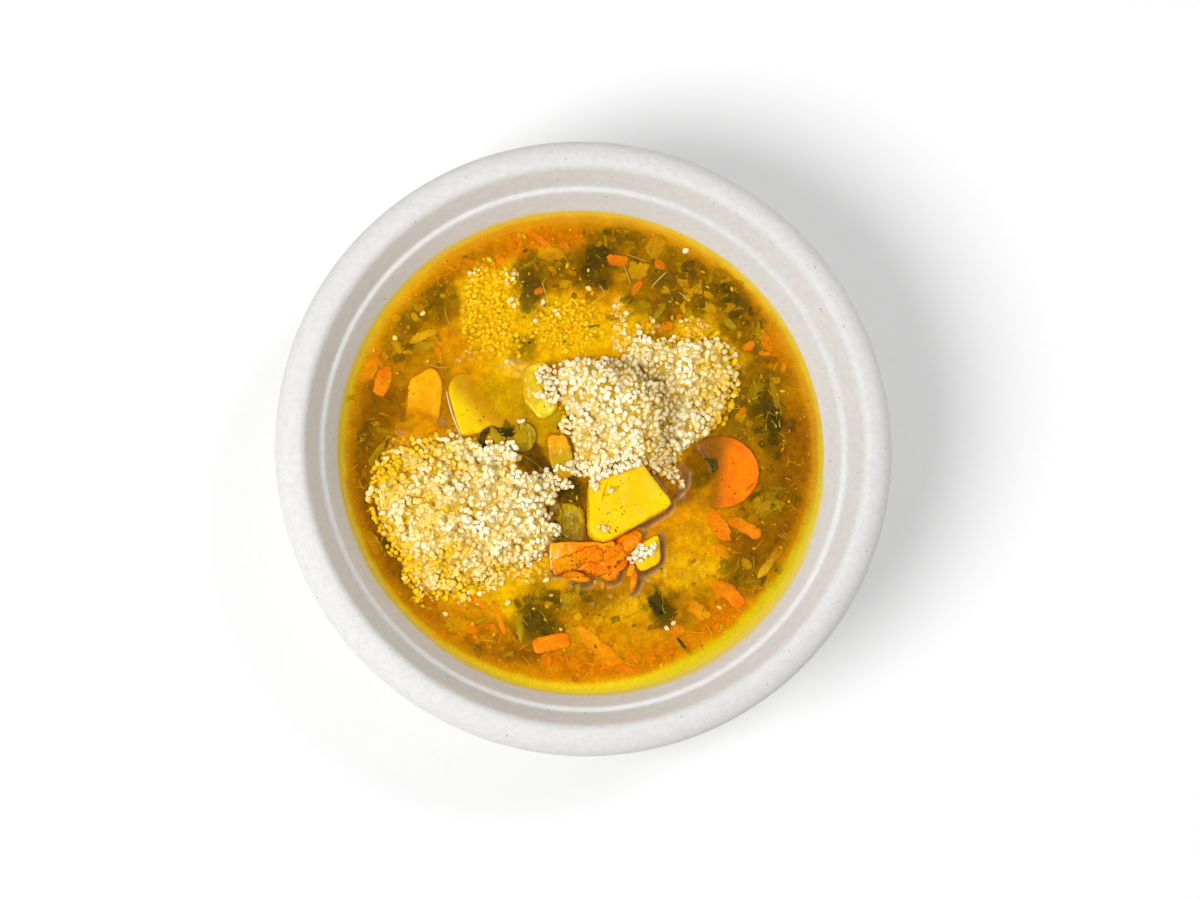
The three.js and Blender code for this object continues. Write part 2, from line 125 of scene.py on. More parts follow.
class Clouds:
    """Smooth seeded noise in space, about 0 to 1, in octaves that each halve in size and weight."""

    LATTICE = 32
    SHIFT = 7.3  # moves each octave off the one before it

    def __init__(self, seed: int, size: float, octaves: int = 1) -> None:
        """Draws the lattice.

        Args:
            seed: the draw.
            size: width of the largest lumps.
            octaves: how many sizes of lump are added up.
        """
        self.values = np.random.default_rng(seed).random((self.LATTICE,) * 3)
        self.size = size
        self.octaves = octaves

    def at(self, points: Array) -> Array:
        """The noise at some places.

        Args:
            points: a row of two or three coordinates for each.

        Returns:
            A number for each.
        """
        spots = points if points.shape[1] == 3 else np.c_[points, np.zeros(len(points))]
        weights = [1 / 2**octave for octave in range(self.octaves)]
        total = sum(w * self.lumps(spots / w / self.size + self.SHIFT * i) for i, w in enumerate(weights))
        return total / sum(weights)

    def lumps(self, spots: Array) -> Array:
        """One octave.

        Args:
            spots: places in lattice steps.

        Returns:
            A number for each.
        """
        cell = np.floor(spots).astype(int)
        part = spots - cell
        part = part * part * (3 - 2 * part)
        total = np.zeros(len(spots))
        for corner in range(8):
            step = np.array([corner & 1, corner >> 1 & 1, corner >> 2])
            i, j, k = ((cell + step) % self.LATTICE).T
            total += np.prod(np.where(step == 1, part, 1 - part), axis=1) * self.values[i, j, k]
        return total


@dataclass
class Surface:
    """Points in millimetres and triangles between them, before they become a mesh."""

    points: Array
    faces: Array
    values: dict[str, Array] = field(default_factory=dict)  # one number or colour for each point

    @staticmethod
    def through(rings: Sequence[Array]) -> "Surface":
        """Covers closed rings of points in turn, and faces the surface outwards.

        Args:
            rings: the rings, of equally many points, or of one point where the surface closes.

        Returns:
            The closed surface.
        """
        around = max(len(ring) for ring in rings)
        starts = np.cumsum([0] + [len(ring) for ring in rings[:-1]])
        index = np.array([start + np.arange(around) % len(ring) for start, ring in zip(starts, rings)])
        here, up = index[:-1], index[1:]
        beside, over = np.roll(here, -1, axis=1), np.roll(up, -1, axis=1)
        halves = [(here, beside, over), (here, over, up)]
        faces = np.concatenate([np.stack(half, axis=-1).reshape(-1, 3) for half in halves])
        a, b, c = faces.T
        surface = Surface(np.concatenate(rings), faces[(a != b) & (b != c) & (c != a)])
        a, b, c = (surface.points[column] for column in surface.faces.T)
        if np.einsum("ij,ij->i", a, np.cross(b, c)).sum() < 0:
            surface.faces = surface.faces[:, ::-1]
        return surface

    @staticmethod
    def turned(profile: Array, around: int) -> "Surface":
        """Turns a profile round the vertical axis.

        Args:
            profile: radius and height of each ring; a radius of zero is a single point.
            around: points in a ring.

        Returns:
            The closed surface.
        """
        angles = np.arange(around) / around * FULL_TURN
        circle = np.c_[np.cos(angles), np.sin(angles)]
        rings = [np.c_[radius * circle, np.full(around, height)] for radius, height in profile]
        return Surface.through([ring if radius else ring[:1] for ring, (radius, _) in zip(rings, profile)])

    @staticmethod
    def repeated(shapes: Array, faces: Array, tints: Array) -> "Surface":
        """Puts many bodies of the same triangles in one surface.

        Args:
            shapes: the points of each.
            faces: the triangles.
            tints: a linear colour for each point of each.

        Returns:
            The surface with its tints.
        """
        count, size = shapes.shape[:2]
        numbers = faces[None] + size * np.arange(count)[:, None, None]
        surface = Surface(shapes.reshape(-1, 3), numbers.reshape(-1, 3))
        return surface.painted("tint", np.broadcast_to(tints, (count, size, 4)).reshape(-1, 4))

    @staticmethod
    def joined(surfaces: Sequence["Surface"]) -> "Surface":
        """Puts surfaces side by side in one, with the values that they share."""
        starts = np.cumsum([0] + [len(s.points) for s in surfaces[:-1]])
        names = set.intersection(*(set(s.values) for s in surfaces))
        return Surface(
            np.concatenate([s.points for s in surfaces]),
            np.concatenate([s.faces + start for s, start in zip(surfaces, starts)]),
            {name: np.concatenate([s.values[name] for s in surfaces]) for name in sorted(names)},
        )

    def painted(self, name: str, value: Array | Sequence[float] | float) -> "Surface":
        """Gives every point a value.

        Args:
            name: the value's name.
            value: one for all points or a row for each.

        Returns:
            The surface itself.
        """
        array = np.asarray(value, float)
        shape = (len(self.points),) + (array.shape[-1:] if array.ndim and array.shape[-1] == 4 else ())
        self.values[name] = np.broadcast_to(array, shape).copy()
        return self

    def made(self, name: str, finish: "Finish", slot: str, replaced: Sequence[str] = ()) -> bpy.types.Object:
        """Makes the piece, rides it on the root body and dresses it.

        Args:
            name: the piece's name.
            finish: its surface finish.
            slot: not used.
            replaced: CAD nodes that the piece stands for.

        Returns:
            The new object.
        """
        mesh = bpy.data.meshes.new(name)
        mesh.from_pydata((self.points * MM).tolist(), [], self.faces.tolist())
        for key, values in self.values.items():
            if values.ndim == 2:
                mesh.attributes.new(key, "FLOAT_COLOR", "POINT").data.foreach_set("color", values.ravel())
            else:
                mesh.attributes.new(key, "FLOAT", "POINT").data.foreach_set("value", values)
        mesh.shade_smooth()
        piece = bpy.data.objects.new(name, mesh)
        bpy.context.scene.collection.objects.link(piece)
        mesh.materials.append(finish.material())
        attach(piece, "root")
        if replaced:
            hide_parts(*replaced)
        log.info("%s: %d triangles", name, len(self.faces))
        return piece


def ball(fine: bool) -> tuple[Array, Array]:
    """A rough ball one across.

    Args:
        fine: whether it has 80 triangles or 20.

    Returns:
        Its points and triangles.
    """
    mesh = bmesh.new()
    bmesh.ops.create_icosphere(mesh, subdivisions=2 if fine else 1, radius=0.5)
    points = np.array([v.co[:] for v in mesh.verts])
    faces = np.array([[v.index for v in f.verts] for f in mesh.faces])
    mesh.free()
    return points, faces


class Ground:
    """What lies below or beside a point, among some surfaces."""

    def __init__(self, surfaces: Sequence[Surface]) -> None:
        """Sorts the surfaces' triangles for the questions below."""
        whole = Surface.joined(surfaces)
        self.tree = BVHTree.FromPolygons(whole.points.tolist(), whole.faces.tolist())

    def top(self, x: float, y: float) -> float | None:
        """The highest point at a place, or None where there is nothing."""
        hit = self.tree.ray_cast(Vector((x, y, 2 * LEVEL)), Vector((0, 0, -1)))[0]
        return hit.z if hit else None

    def clearance(self, x: float, y: float, z: float) -> float:
        """The distance to the nearest surface, negative inside a closed one."""
        spot = Vector((x, y, z))
        near, normal, _, distance = self.tree.find_nearest(spot)
        return distance if (spot - near).dot(normal) >= 0 else -distance


@dataclass(frozen=True)
class Oval:
    """A turned oval seen from above: its middle, half widths and turn in degrees."""

    x: float
    y: float
    long: float
    wide: float
    turn: float

    def spot(self, share: float, angle: float) -> Spot:
        """A place at a share of the oval's reach.

        Args:
            share: 1 on the outline.
            angle: the direction in the oval.

        Returns:
            The place.
        """
        u, v = share * self.long * math.cos(angle), share * self.wide * math.sin(angle)
        turn = math.radians(self.turn)
        x = self.x + u * math.cos(turn) - v * math.sin(turn)
        return x, self.y + u * math.sin(turn) + v * math.cos(turn)

    def outness(self, spots: Array) -> Array:
        """How far out places lie, 1 on the outline.

        Args:
            spots: a row for each place.

        Returns:
            A number for each.
        """
        turn = math.radians(self.turn)
        x, y = (spots - np.array([self.x, self.y])).T
        u = (x * math.cos(turn) + y * math.sin(turn)) / self.long
        v = (y * math.cos(turn) - x * math.sin(turn)) / self.wide
        return np.hypot(u, v)


# Finishes


class Finish:
    """A surface finish. Each kind has a name and wires a shader."""

    name: str

    def shader(self, tree: Tree) -> Socket:
        """Wires the finish and returns its shader's output."""
        raise NotImplementedError

    def material(self) -> bpy.types.Material:
        """The finish's material, made the first time that it is asked for."""
        made = bpy.data.materials.get(self.name)
        if made is None:
            made = bpy.data.materials.new(self.name)
            made.use_nodes = True
            made.node_tree.nodes.clear()
            add(made.node_tree, "OutputMaterial", {"Surface": self.shader(made.node_tree)})
        return made


@dataclass(frozen=True)
class MouldedFibre(Finish):
    """Sugarcane pulp, pressed wet in a mould: matt and off-white, with specks and short fibres in it."""

    name: str = "moulded sugarcane fibre"
    pulp: str = "dddcda"
    thin: str = "d6d4d1"  # where the pulp lies thinner
    fibre: str = "c9c0b2"
    speck: str = "6f6250"
    film: str = "e4cc1c"  # broth that soaked into the wall
    mottle_mm: float = 2.2
    fibre_mm: float = 3.5
    speck_mm: float = 2.3  # one cell of the speck pattern, of which few hold a speck
    felt_mm: float = 0.7

    def shader(self, tree: Tree) -> Socket:
        """Pulp, fibres and specks in layers, with the film on top."""
        spot = add(tree, "TexCoord", {}, "Object")
        noise = {"Vector": spot, "Scale": per_mm(self.mottle_mm), "Detail": 4.0, "Roughness": 0.7}
        broad = add(tree, "TexNoise", noise)
        patch = add(tree, "MapRange", {"Value": broad, "From Min": 0.38, "From Max": 0.62})
        colour = add(tree, "Mix", {0: patch, 6: linear(self.thin), 7: linear(self.pulp)}, 2, data_type="RGBA")
        # A fibre is a thin contour line of a smooth noise
        noise = {"Vector": spot, "Scale": per_mm(self.fibre_mm), "Detail": 1.0, "Distortion": 1.2}
        offset = add(tree, "Math", {0: add(tree, "TexNoise", noise), 1: 0.5}, operation="SUBTRACT")
        width = add(tree, "Math", {0: offset}, operation="ABSOLUTE")
        line = add(tree, "MapRange", {"Value": width, "From Max": 0.012, "To Min": 0.35, "To Max": 0.0})
        colour = add(tree, "Mix", {0: line, 6: colour, 7: linear(self.fibre)}, 2, data_type="RGBA")
        cell = add(tree, "TexVoronoi", {"Vector": spot, "Scale": per_mm(self.speck_mm)}, "Color")
        chosen = add(tree, "SeparateColor", {"Color": cell})
        reach = add(tree, "MapRange", {"Value": chosen, "From Min": 0.72, "To Max": 0.15})
        depth = add(tree, "Math", {0: reach, 1: cell.node.outputs["Distance"]}, operation="SUBTRACT")
        dot = add(tree, "MapRange", {"Value": depth, "From Max": 0.04, "To Max": 0.75})
        colour = add(tree, "Mix", {0: dot, 6: colour, 7: linear(self.speck)}, 2, data_type="RGBA")
        film = add(tree, "Attribute", {}, "Fac", attribute_name="film")
        colour = add(tree, "Mix", {0: film, 6: colour, 7: linear(self.film)}, 2, data_type="RGBA")
        noise = {"Vector": spot, "Scale": per_mm(self.felt_mm), "Detail": 3.0, "Roughness": 0.65}
        felt = add(tree, "TexNoise", noise)
        bump = add(tree, "Bump", {"Height": felt, "Strength": 0.2, "Distance": 0.1 * MM})
        look = {"Base Color": colour, "Normal": bump, "Roughness": 0.82, "IOR": 1.47}
        return add(tree, "BsdfPrincipled", look)


@dataclass(frozen=True)
class CutFlesh(Finish):
    """A cooked vegetable's cut face: wet, soft and mottled, and steeped in broth towards the waterline."""

    name: str
    flesh: str
    shade: str
    steep: str  # the broth that it has taken up
    mottle_mm: float = 4.0
    grain: tuple[float, float, float] = (1.0, 1.0, 1.0)  # stretch of the fine grain along X, Y and Z
    grain_mm: float = 0.9
    relief_mm: float = 0.10
    roughness: float = 0.34
    gloss: float = 0.05  # the film of broth on it

    def shader(self, tree: Tree) -> Socket:
        """Broad mottles and fine grain in the colour, and the grain again as relief."""
        spot = add(tree, "TexCoord", {}, "Object")
        broad = add(tree, "TexNoise", {"Vector": spot, "Scale": per_mm(self.mottle_mm), "Detail": 3.0})
        along = add(tree, "Mapping", {"Vector": spot, "Scale": self.grain})
        fine = add(tree, "TexNoise", {"Vector": along, "Scale": per_mm(self.grain_mm), "Detail": 3.0})
        both = add(tree, "Math", {0: broad, 1: fine}, operation="ADD")
        share = add(tree, "MapRange", {"Value": both, "From Min": 0.8, "From Max": 1.25})
        parts = {0: share, 6: linear(self.flesh), 7: linear(self.shade)}
        colour = add(tree, "Mix", parts, 2, data_type="RGBA")
        steeped = add(tree, "Attribute", {}, "Fac", attribute_name="steeped")
        colour = add(tree, "Mix", {0: steeped, 6: colour, 7: linear(self.steep)}, 2, data_type="RGBA")
        bump = add(tree, "Bump", {"Height": fine, "Strength": 0.6, "Distance": self.relief_mm * MM})
        look = {"Base Color": colour, "Normal": bump, "Roughness": self.roughness, "IOR": 1.38}
        look |= {"Specular IOR Level": 0.12, "Coat Weight": self.gloss, "Coat Roughness": 0.08}
        return add(tree, "BsdfPrincipled", look)


@dataclass(frozen=True)
class TintedFood(Finish):
    """Small pieces of cooked food, each point with its own tint: grains, crumbs, leaves and slivers."""

    name: str
    roughness: float
    grain_mm: float
    contrast: float  # how much darker the mottles are

    def shader(self, tree: Tree) -> Socket:
        """The tint, darkened in fine mottles that are its relief too."""
        spot = add(tree, "TexCoord", {}, "Object")
        tint = add(tree, "Attribute", {}, attribute_name="tint")
        noise = {"Vector": spot, "Scale": per_mm(self.grain_mm), "Detail": 2.0, "Roughness": 0.6}
        fine = add(tree, "TexNoise", noise)
        spread = {"Value": fine, "From Min": 0.35, "From Max": 0.65, "To Min": 1.0 - self.contrast}
        dark = add(tree, "MapRange", spread)
        colour = add(tree, "Mix", {0: 1.0, 6: tint, 7: dark}, 2, data_type="RGBA", blend_type="MULTIPLY")
        bump = add(tree, "Bump", {"Height": fine, "Strength": 0.5, "Distance": 0.08 * MM})
        wet = {"Roughness": self.roughness, "IOR": 1.4, "Specular IOR Level": 0.1}
        return add(tree, "BsdfPrincipled", {"Base Color": colour, "Normal": bump, **wet})


@dataclass(frozen=True)
class ClearBroth(Finish):
    """Vegetable broth, cloudy with starch and turmeric: a glossy sheet that hides what lies deep in it."""

    name: str = "cloudy vegetable broth"
    swirl_mm: float = 2.6
    haze_mm: float = 0.7  # starch and fat in the broth, drawn coarser than it is so that it shows

    def shader(self, tree: Tree) -> Socket:
        """The tint and cover of each point, with haze in both, under a liquid's gloss."""
        spot = add(tree, "TexCoord", {}, "Object")
        tint = add(tree, "Attribute", {}, attribute_name="tint")
        cover = add(tree, "Attribute", {}, "Fac", attribute_name="cover")
        edge = add(tree, "Attribute", {}, "Fac", attribute_name="edge")
        noise = {"Vector": spot, "Scale": per_mm(self.swirl_mm), "Detail": 5.0, "Roughness": 0.68}
        swirl = add(tree, "TexNoise", {**noise, "Distortion": 0.8})
        spread = {"Value": swirl, "From Min": 0.34, "From Max": 0.66, "To Min": 0.74, "To Max": 1.16}
        calm = add(tree, "MapRange", {"Value": edge, "To Min": 1.0, "To Max": 0.3})
        parts = {0: calm, 6: tint, 7: add(tree, "MapRange", spread)}
        colour = add(tree, "Mix", parts, 2, data_type="RGBA", blend_type="MULTIPLY", clamp_result=True)
        haze = add(tree, "TexNoise", {"Vector": spot, "Scale": per_mm(self.haze_mm), "Detail": 2.0})
        spread = {"Value": haze, "From Min": 0.35, "From Max": 0.65, "To Min": 0.85, "To Max": 1.1}
        veil = add(tree, "MapRange", spread)
        alpha = add(tree, "Math", {0: cover, 1: veil}, operation="MULTIPLY", use_clamp=True)
        bump = add(tree, "Bump", {"Height": haze, "Strength": 0.15, "Distance": 0.05 * MM})
        wet = {"Roughness": 0.09, "IOR": 1.333, "Specular IOR Level": 0.15, "Alpha": alpha}
        return add(tree, "BsdfPrincipled", {"Base Color": colour, "Normal": bump, **wet})


@dataclass(frozen=True)
class PaperFloor(Finish):
    """Matt white background paper, a plain pale floor under soft light."""

    name: str = "matt white background paper"
    paper: str = "fbfbfb"
    tooth: str = "f7f7f7"
    tooth_mm: float = 3.0

    def shader(self, tree: Tree) -> Socket:
        """White paper with a faint tooth."""
        spot = add(tree, "TexCoord", {}, "Object")
        tooth = add(tree, "TexNoise", {"Vector": spot, "Scale": per_mm(self.tooth_mm), "Detail": 2.0})
        parts = {0: tooth, 6: linear(self.paper), 7: linear(self.tooth)}
        colour = add(tree, "Mix", parts, 2, data_type="RGBA")
        return add(tree, "BsdfPrincipled", {"Base Color": colour, "Roughness": 0.9})


POTATO_FLESH = CutFlesh("boiled potato, cut", "fad400", "f2bc00", "c48c00", mottle_mm=6.0, relief_mm=0.22)
SQUASH_FLESH = CutFlesh(
    "stewed squash, cut", "fab200", "f09400", "d08800", mottle_mm=3.5, relief_mm=0.2, roughness=0.4
)
RIND_FLESH = CutFlesh(
    "stewed squash, near the rind", "f8b000", "e88c00", "c09a04", mottle_mm=3.0, relief_mm=0.3, gloss=0.3
)
CARROT_FLESH = CutFlesh(
    "stewed carrot, cut", "fa8400", "ec6a00", "845404", mottle_mm=5.0, relief_mm=0.16, roughness=0.38
)
TORN_FLESH = CutFlesh(
    "stewed carrot, torn", "fc9e00", "ee7000", "f0b020", 3.2, (0.35, 1.0, 1.0), relief_mm=0.3, gloss=0.35
)
CELERY_FLESH = CutFlesh(
    "stewed celery, cut", "c4a000", "7c6400", "846000", grain=(1.0, 0.3, 0.3), relief_mm=0.25, gloss=0.3
)
PEELED_CELERY = CutFlesh(
    "stewed celery, peeled", "f0d818", "d8b400", "dcac00",
    grain_mm=1.6, relief_mm=0.4, roughness=0.3, gloss=0.8,
)
HERB_FLESH = CutFlesh("stewed herb leaf", "5c4c04", "342c02", "4a3800", mottle_mm=1.6, roughness=0.42)
SEMOLINA = TintedFood("steamed couscous grains", 0.5, 0.6, 0.06)
CRUMB = TintedFood("stewed vegetable crumbs", 0.4, 0.8, 0.25)
LEAFAGE = TintedFood("stewed green leaves", 0.45, 0.7, 0.5)
SEDIMENT = TintedFood("settled broth", 0.4, 1.6, 0.35)
PEPPER = TintedFood("ground black pepper", 0.6, 0.3, 0.4)


# The bowl


@dataclass(frozen=True)
class Shore:
    """The broth's edge at one direction, in degrees from +X: its colour, width and film on the wall. The
    edge's colour and width are partly painted light, where the lamp shows the wall through shallow broth.
    """

    angle: float
    colour: str
    width: float
    film: float

    @staticmethod
    def around(angles: Array, value: Callable[["Shore"], float]) -> Array:
        """A value of SHORES, blended between their directions."""
        return np.interp(angles, [s.angle for s in SHORES], [value(s) for s in SHORES], period=360)


SHORES = [
    Shore(0, "b08a00", 1.8, 0.5),
    Shore(45, "e0a800", 2.8, 0.9),
    Shore(90, "d48c00", 3.2, 0.8),
    Shore(120, "d08a00", 3.4, 1.2),
    Shore(140, "de9e00", 4.0, 1.8),
    Shore(180, "c49e04", 2.2, 1.6),
    Shore(225, "deac08", 2.6, 0.9),
    Shore(270, "eace10", 4.0, 2.0),
    Shore(300, "d4be04", 5.2, 3.8),
    Shore(330, "c8b000", 4.4, 3.2),
]


@dataclass
class Bowl:
    """Moulded fibre bowl: foot, leaning wall, stacking ledge and a rolled rim."""

    around: int = 216
    radius: float = 99.0
    height: float = 58.0
    wall: float = 1.4
    floor_top: float = 2.4
    floor_radius: float = 48.0
    foot_radius: float = 50.0
    foot_width: float = 6.0
    foot_recess: float = 1.0
    lean: float = 0.572
    ledge_radius: float = 83.2
    ledge_height: float = 48.4
    ledge_width: float = 1.6
    ledge_rise: float = 0.5
    crest_radius: float = 91.8
    crest_round: float = 2.0
    roll_drop: float = 6.0
    lip_drop: float = 1.8
    lip_round: float = 0.5
    unevenness: float = 0.16  # the pulp's waves, which only take away from the wall

    @property
    def bend(self) -> float:
        """The radius at which the leaning wall would meet the floor."""
        return self.ledge_radius - (self.ledge_height - self.floor_top) * self.lean

    def wall_radius(self, height: Array | float) -> Array | float:
        """The inner face's radius at a height between the floor and the ledge."""
        share = np.sqrt((height - self.floor_top) / (self.ledge_height - self.floor_top))
        low, high = self.floor_radius * (1 - share) ** 2, self.ledge_radius * share**2
        return low + 2 * self.bend * share * (1 - share) + high

    @staticmethod
    def curve(start: Sequence[float], turn: Sequence[float], end: Sequence[float], steps: int) -> Array:
        """Points on a curve that leaves start towards turn and reaches end from it."""
        t = np.linspace(0, 1, steps + 1)[:, None]
        return (1 - t) ** 2 * np.array(start) + 2 * t * (1 - t) * np.array(turn) + t**2 * np.array(end)

    @staticmethod
    def arc(centre: Sequence[float], reach: Sequence[float], start: float, end: float, steps: int) -> Array:
        """Points on an ellipse between two angles in degrees."""
        angles = np.radians(np.linspace(start, end, steps + 1))
        return np.c_[centre[0] + reach[0] * np.cos(angles), centre[1] + reach[1] * np.sin(angles)]

    def profile(self) -> Array:
        """Radius and height from the floor's middle, over the rim, to the middle of the underside."""
        slant = self.wall / math.cos(math.atan(self.lean))
        corner = (self.ledge_radius, self.ledge_height)
        ledge_out, ledge_top = self.ledge_radius + self.ledge_width, self.ledge_height + self.ledge_rise
        crest_foot = self.height - self.crest_round
        crest_in = ledge_out + (crest_foot - ledge_top) * self.lean
        crest_turn, crest = crest_in + self.crest_round * self.lean, (self.crest_radius, self.height)
        roll, width = (self.crest_radius, self.height - self.roll_drop), self.radius - self.crest_radius
        lip = (self.radius - self.wall / 2, roll[1] - self.lip_drop + self.lip_round)
        outer_top = self.ledge_height - self.wall / 2
        outer_reach = self.ledge_radius + slant - self.wall / 2 * self.lean
        outer_turn = outer_reach - outer_top * self.lean
        foot_in = self.foot_radius - self.foot_width
        parts = [
            [(0, self.floor_top), (self.floor_radius / 2, self.floor_top)],
            self.curve((self.floor_radius, self.floor_top), (self.bend, self.floor_top), corner, 72),
            self.curve(corner, (self.ledge_radius + 0.35, ledge_top), (ledge_out, ledge_top), 4)[1:],
            np.linspace((ledge_out + 0.25, ledge_top + 0.35), (crest_in, crest_foot), 7),
            self.curve((crest_in, crest_foot), (crest_turn, self.height), crest, 8)[1:],
            self.arc(roll, (width, self.roll_drop), 90, 0, 14)[1:],
            self.arc(lip, (self.wall / 2, self.lip_round), 0, -180, 6),
            self.arc(roll, (width - self.wall, self.roll_drop - self.wall), 0, 90, 8),
            [(crest_in + slant, crest_foot - self.wall / 2)],
            [(outer_reach + self.ledge_width, outer_top + self.ledge_rise)],
            self.curve((outer_reach, outer_top), (outer_turn, 0), (self.foot_radius, 0), 18),
            [(foot_in, 0), (foot_in - self.foot_recess, self.foot_recess), (0, self.foot_recess)],
        ]
        return np.concatenate([np.array(part) for part in parts])

    def shell(self) -> Surface:
        """The whole bowl, its pulp slightly uneven, with the film of broth on its wall."""
        surface = Surface.turned(self.profile(), self.around)
        x, y, z = surface.points.T
        reach = np.hypot(x, y)
        # Up to the ledge the outer face lies only the wall's thickness further out
        inner_face = self.wall_radius(np.clip(z, 3, self.ledge_height))
        inner_face = inner_face + np.where(z < self.ledge_height - 0.1, self.wall / 2, 3.0)
        inner = (reach < self.crest_radius) & (z > 8) & (reach <= inner_face)
        waves = Clouds(5, 17.0, 3).at(surface.points)
        push = np.where(inner, self.unevenness * waves, 0) / np.maximum(reach, 1)
        surface.points[:, 0] += x * push
        surface.points[:, 1] += y * push
        width = Shore.around(np.degrees(np.arctan2(y, x)), lambda shore: shore.film)
        ragged = Clouds(8, 3.0, 2).at(surface.points) - 0.5
        film = 0.85 * ease(z + 0.8 * ragged, LEVEL + width + 0.3, LEVEL + width * 0.8 - 0.2)
        return surface.painted("film", np.where(inner, film, 0))

    def build(self) -> bpy.types.Object:
        """Makes the bowl."""
        return self.shell().made("moulded_bowl", MouldedFibre(), "fibre", ["bowl", "bowl_rim"])


# Vegetables that stand out of the broth


@dataclass
class Vegetable:
    """A cut piece, worked from its CAD solid: rounded by cooking, and rough where it was cut or torn."""

    node: str
    finish: CutFlesh
    slot: str
    voxel: float
    rounds: int  # how often it is smoothed
    rough: float
    rough_size: float = 3.0
    steeped_from: float = 40.9  # height below which it takes on the broth's colour
    murk: tuple[Spot, Spot] | None = None  # from its clear side to its murky one
    banded: bool = False  # the broth beside it gets a band of painted shade and a painted highlight line

    def surface(self, seed: int) -> Surface:
        """Works the piece from a remeshed copy of the CAD node.

        Args:
            seed: the draw of its roughness.

        Returns:
            The surface, with how far each point is steeped in broth.
        """
        copy = bpy.data.objects.new("raw_" + self.node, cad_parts[self.node].data.copy())
        bpy.context.scene.collection.objects.link(copy)
        remesh = copy.modifiers.new("voxels", "REMESH")
        remesh.mode = "VOXEL"
        remesh.voxel_size = self.voxel * MM
        smooth = copy.modifiers.new("cooked round", "SMOOTH")
        smooth.factor = 0.5
        smooth.iterations = self.rounds
        mesh = copy.evaluated_get(bpy.context.evaluated_depsgraph_get()).to_mesh()
        mesh.calc_loop_triangles()
        points, normals = np.zeros((2, len(mesh.vertices) * 3))
        mesh.vertices.foreach_get("co", points)
        mesh.vertices.foreach_get("normal", normals)
        faces = np.zeros(len(mesh.loop_triangles) * 3, np.int32)
        mesh.loop_triangles.foreach_get("vertices", faces)
        bpy.data.objects.remove(copy)
        points = points.reshape(-1, 3) / MM
        relief = Clouds(seed, self.rough_size, 3).at(points) - 0.5
        points += normals.reshape(-1, 3) * (relief * 2 * self.rough)[:, None]
        steeped = 0.85 * ease(points[:, 2] + 0.8 * relief, self.steeped_from, LEVEL - 0.4)
        if self.murk:
            start, end = (np.array(place) for place in self.murk)
            along = (points[:, :2] - start) @ (end - start) / ((end - start) @ (end - start))
            steeped = np.maximum(steeped, 0.95 * ease(along + 0.5 * relief, 0.0, 1.0))
        return Surface(points, faces.reshape(-1, 3)).painted("steeped", steeped)


# The roughness of each is drawn with the seeds from this one on
FIRST_SEED = 11
VEGETABLES = [
    Vegetable("potato_large", POTATO_FLESH, "potato", 0.36, 3, 0.36, 5.0, steeped_from=40.2, banded=True),
    Vegetable("potato_small", POTATO_FLESH, "potato", 0.4, 6, 0.16, steeped_from=40.4, banded=True),
    Vegetable("potato_slab", POTATO_FLESH, "potato", 0.5, 6, 0.2, murk=((-39.3, 11.1), (-34.0, 16.6))),
    Vegetable("potato_mid", RIND_FLESH, "squash", 0.4, 5, 0.9, 2.6, murk=((-8.0, 2.6), (-7.2, -2.0))),
    Vegetable("squash_chunk", SQUASH_FLESH, "squash", 0.5, 14, 0.7, 4.5, murk=((-51.0, 15.0), (-52.0, 7.0))),
    Vegetable(
        "carrot_torn", TORN_FLESH, "carrot", 0.3, 4, 0.8, 4.6,
        murk=((-1.0, -33.0), (-10.5, -37.5)), banded=True,
    ),
    Vegetable("carrot_knob", TORN_FLESH, "carrot", 0.3, 5, 0.7, banded=True),
    Vegetable("carrot_ball", TORN_FLESH, "carrot", 0.3, 4, 0.6, banded=True),
    Vegetable("carrot_lip", TORN_FLESH, "carrot", 0.3, 3, 0.25, 2.0, banded=True),
    Vegetable("carrot_spur", TORN_FLESH, "carrot", 0.3, 3, 0.25, 2.0, banded=True),
    Vegetable("carrot_slice", CARROT_FLESH, "carrot", 0.45, 6, 0.14, murk=((49.5, -8.5), (41.5, -7.3))),
    Vegetable("celery_mid", CELERY_FLESH, "celery", 0.35, 5, 0.9, 2.8, murk=((-1.5, -21.0), (-6.8, -28.0))),
    Vegetable("celery_ring", CELERY_FLESH, "celery", 0.3, 4, 0.2),
    Vegetable("celery_chunk", PEELED_CELERY, "celery", 0.4, 10, 0.8, 4.0, murk=((-14.5, 20.5), (-19.0, 20.0))),
    Vegetable("celery_curl", HERB_FLESH, "leaf", 0.3, 3, 0.25, 2.0),
    Vegetable("herb_leaf", HERB_FLESH, "leaf", 0.16, 2, 0.2, 1.6),
]


# Couscous


@dataclass(frozen=True)
class Grain:
    """A place for one grain of couscous, with its width and how wet it is from 0 to 1."""

    x: float
    y: float
    z: float
    size: float
    wet: float
    shade: float = 1.0  # below 1 darker and above 1 brighter: brown juice that it took up, and painted shade and light in the heap's valley and on its lumps
    fine: bool = True  # not where it lies under others


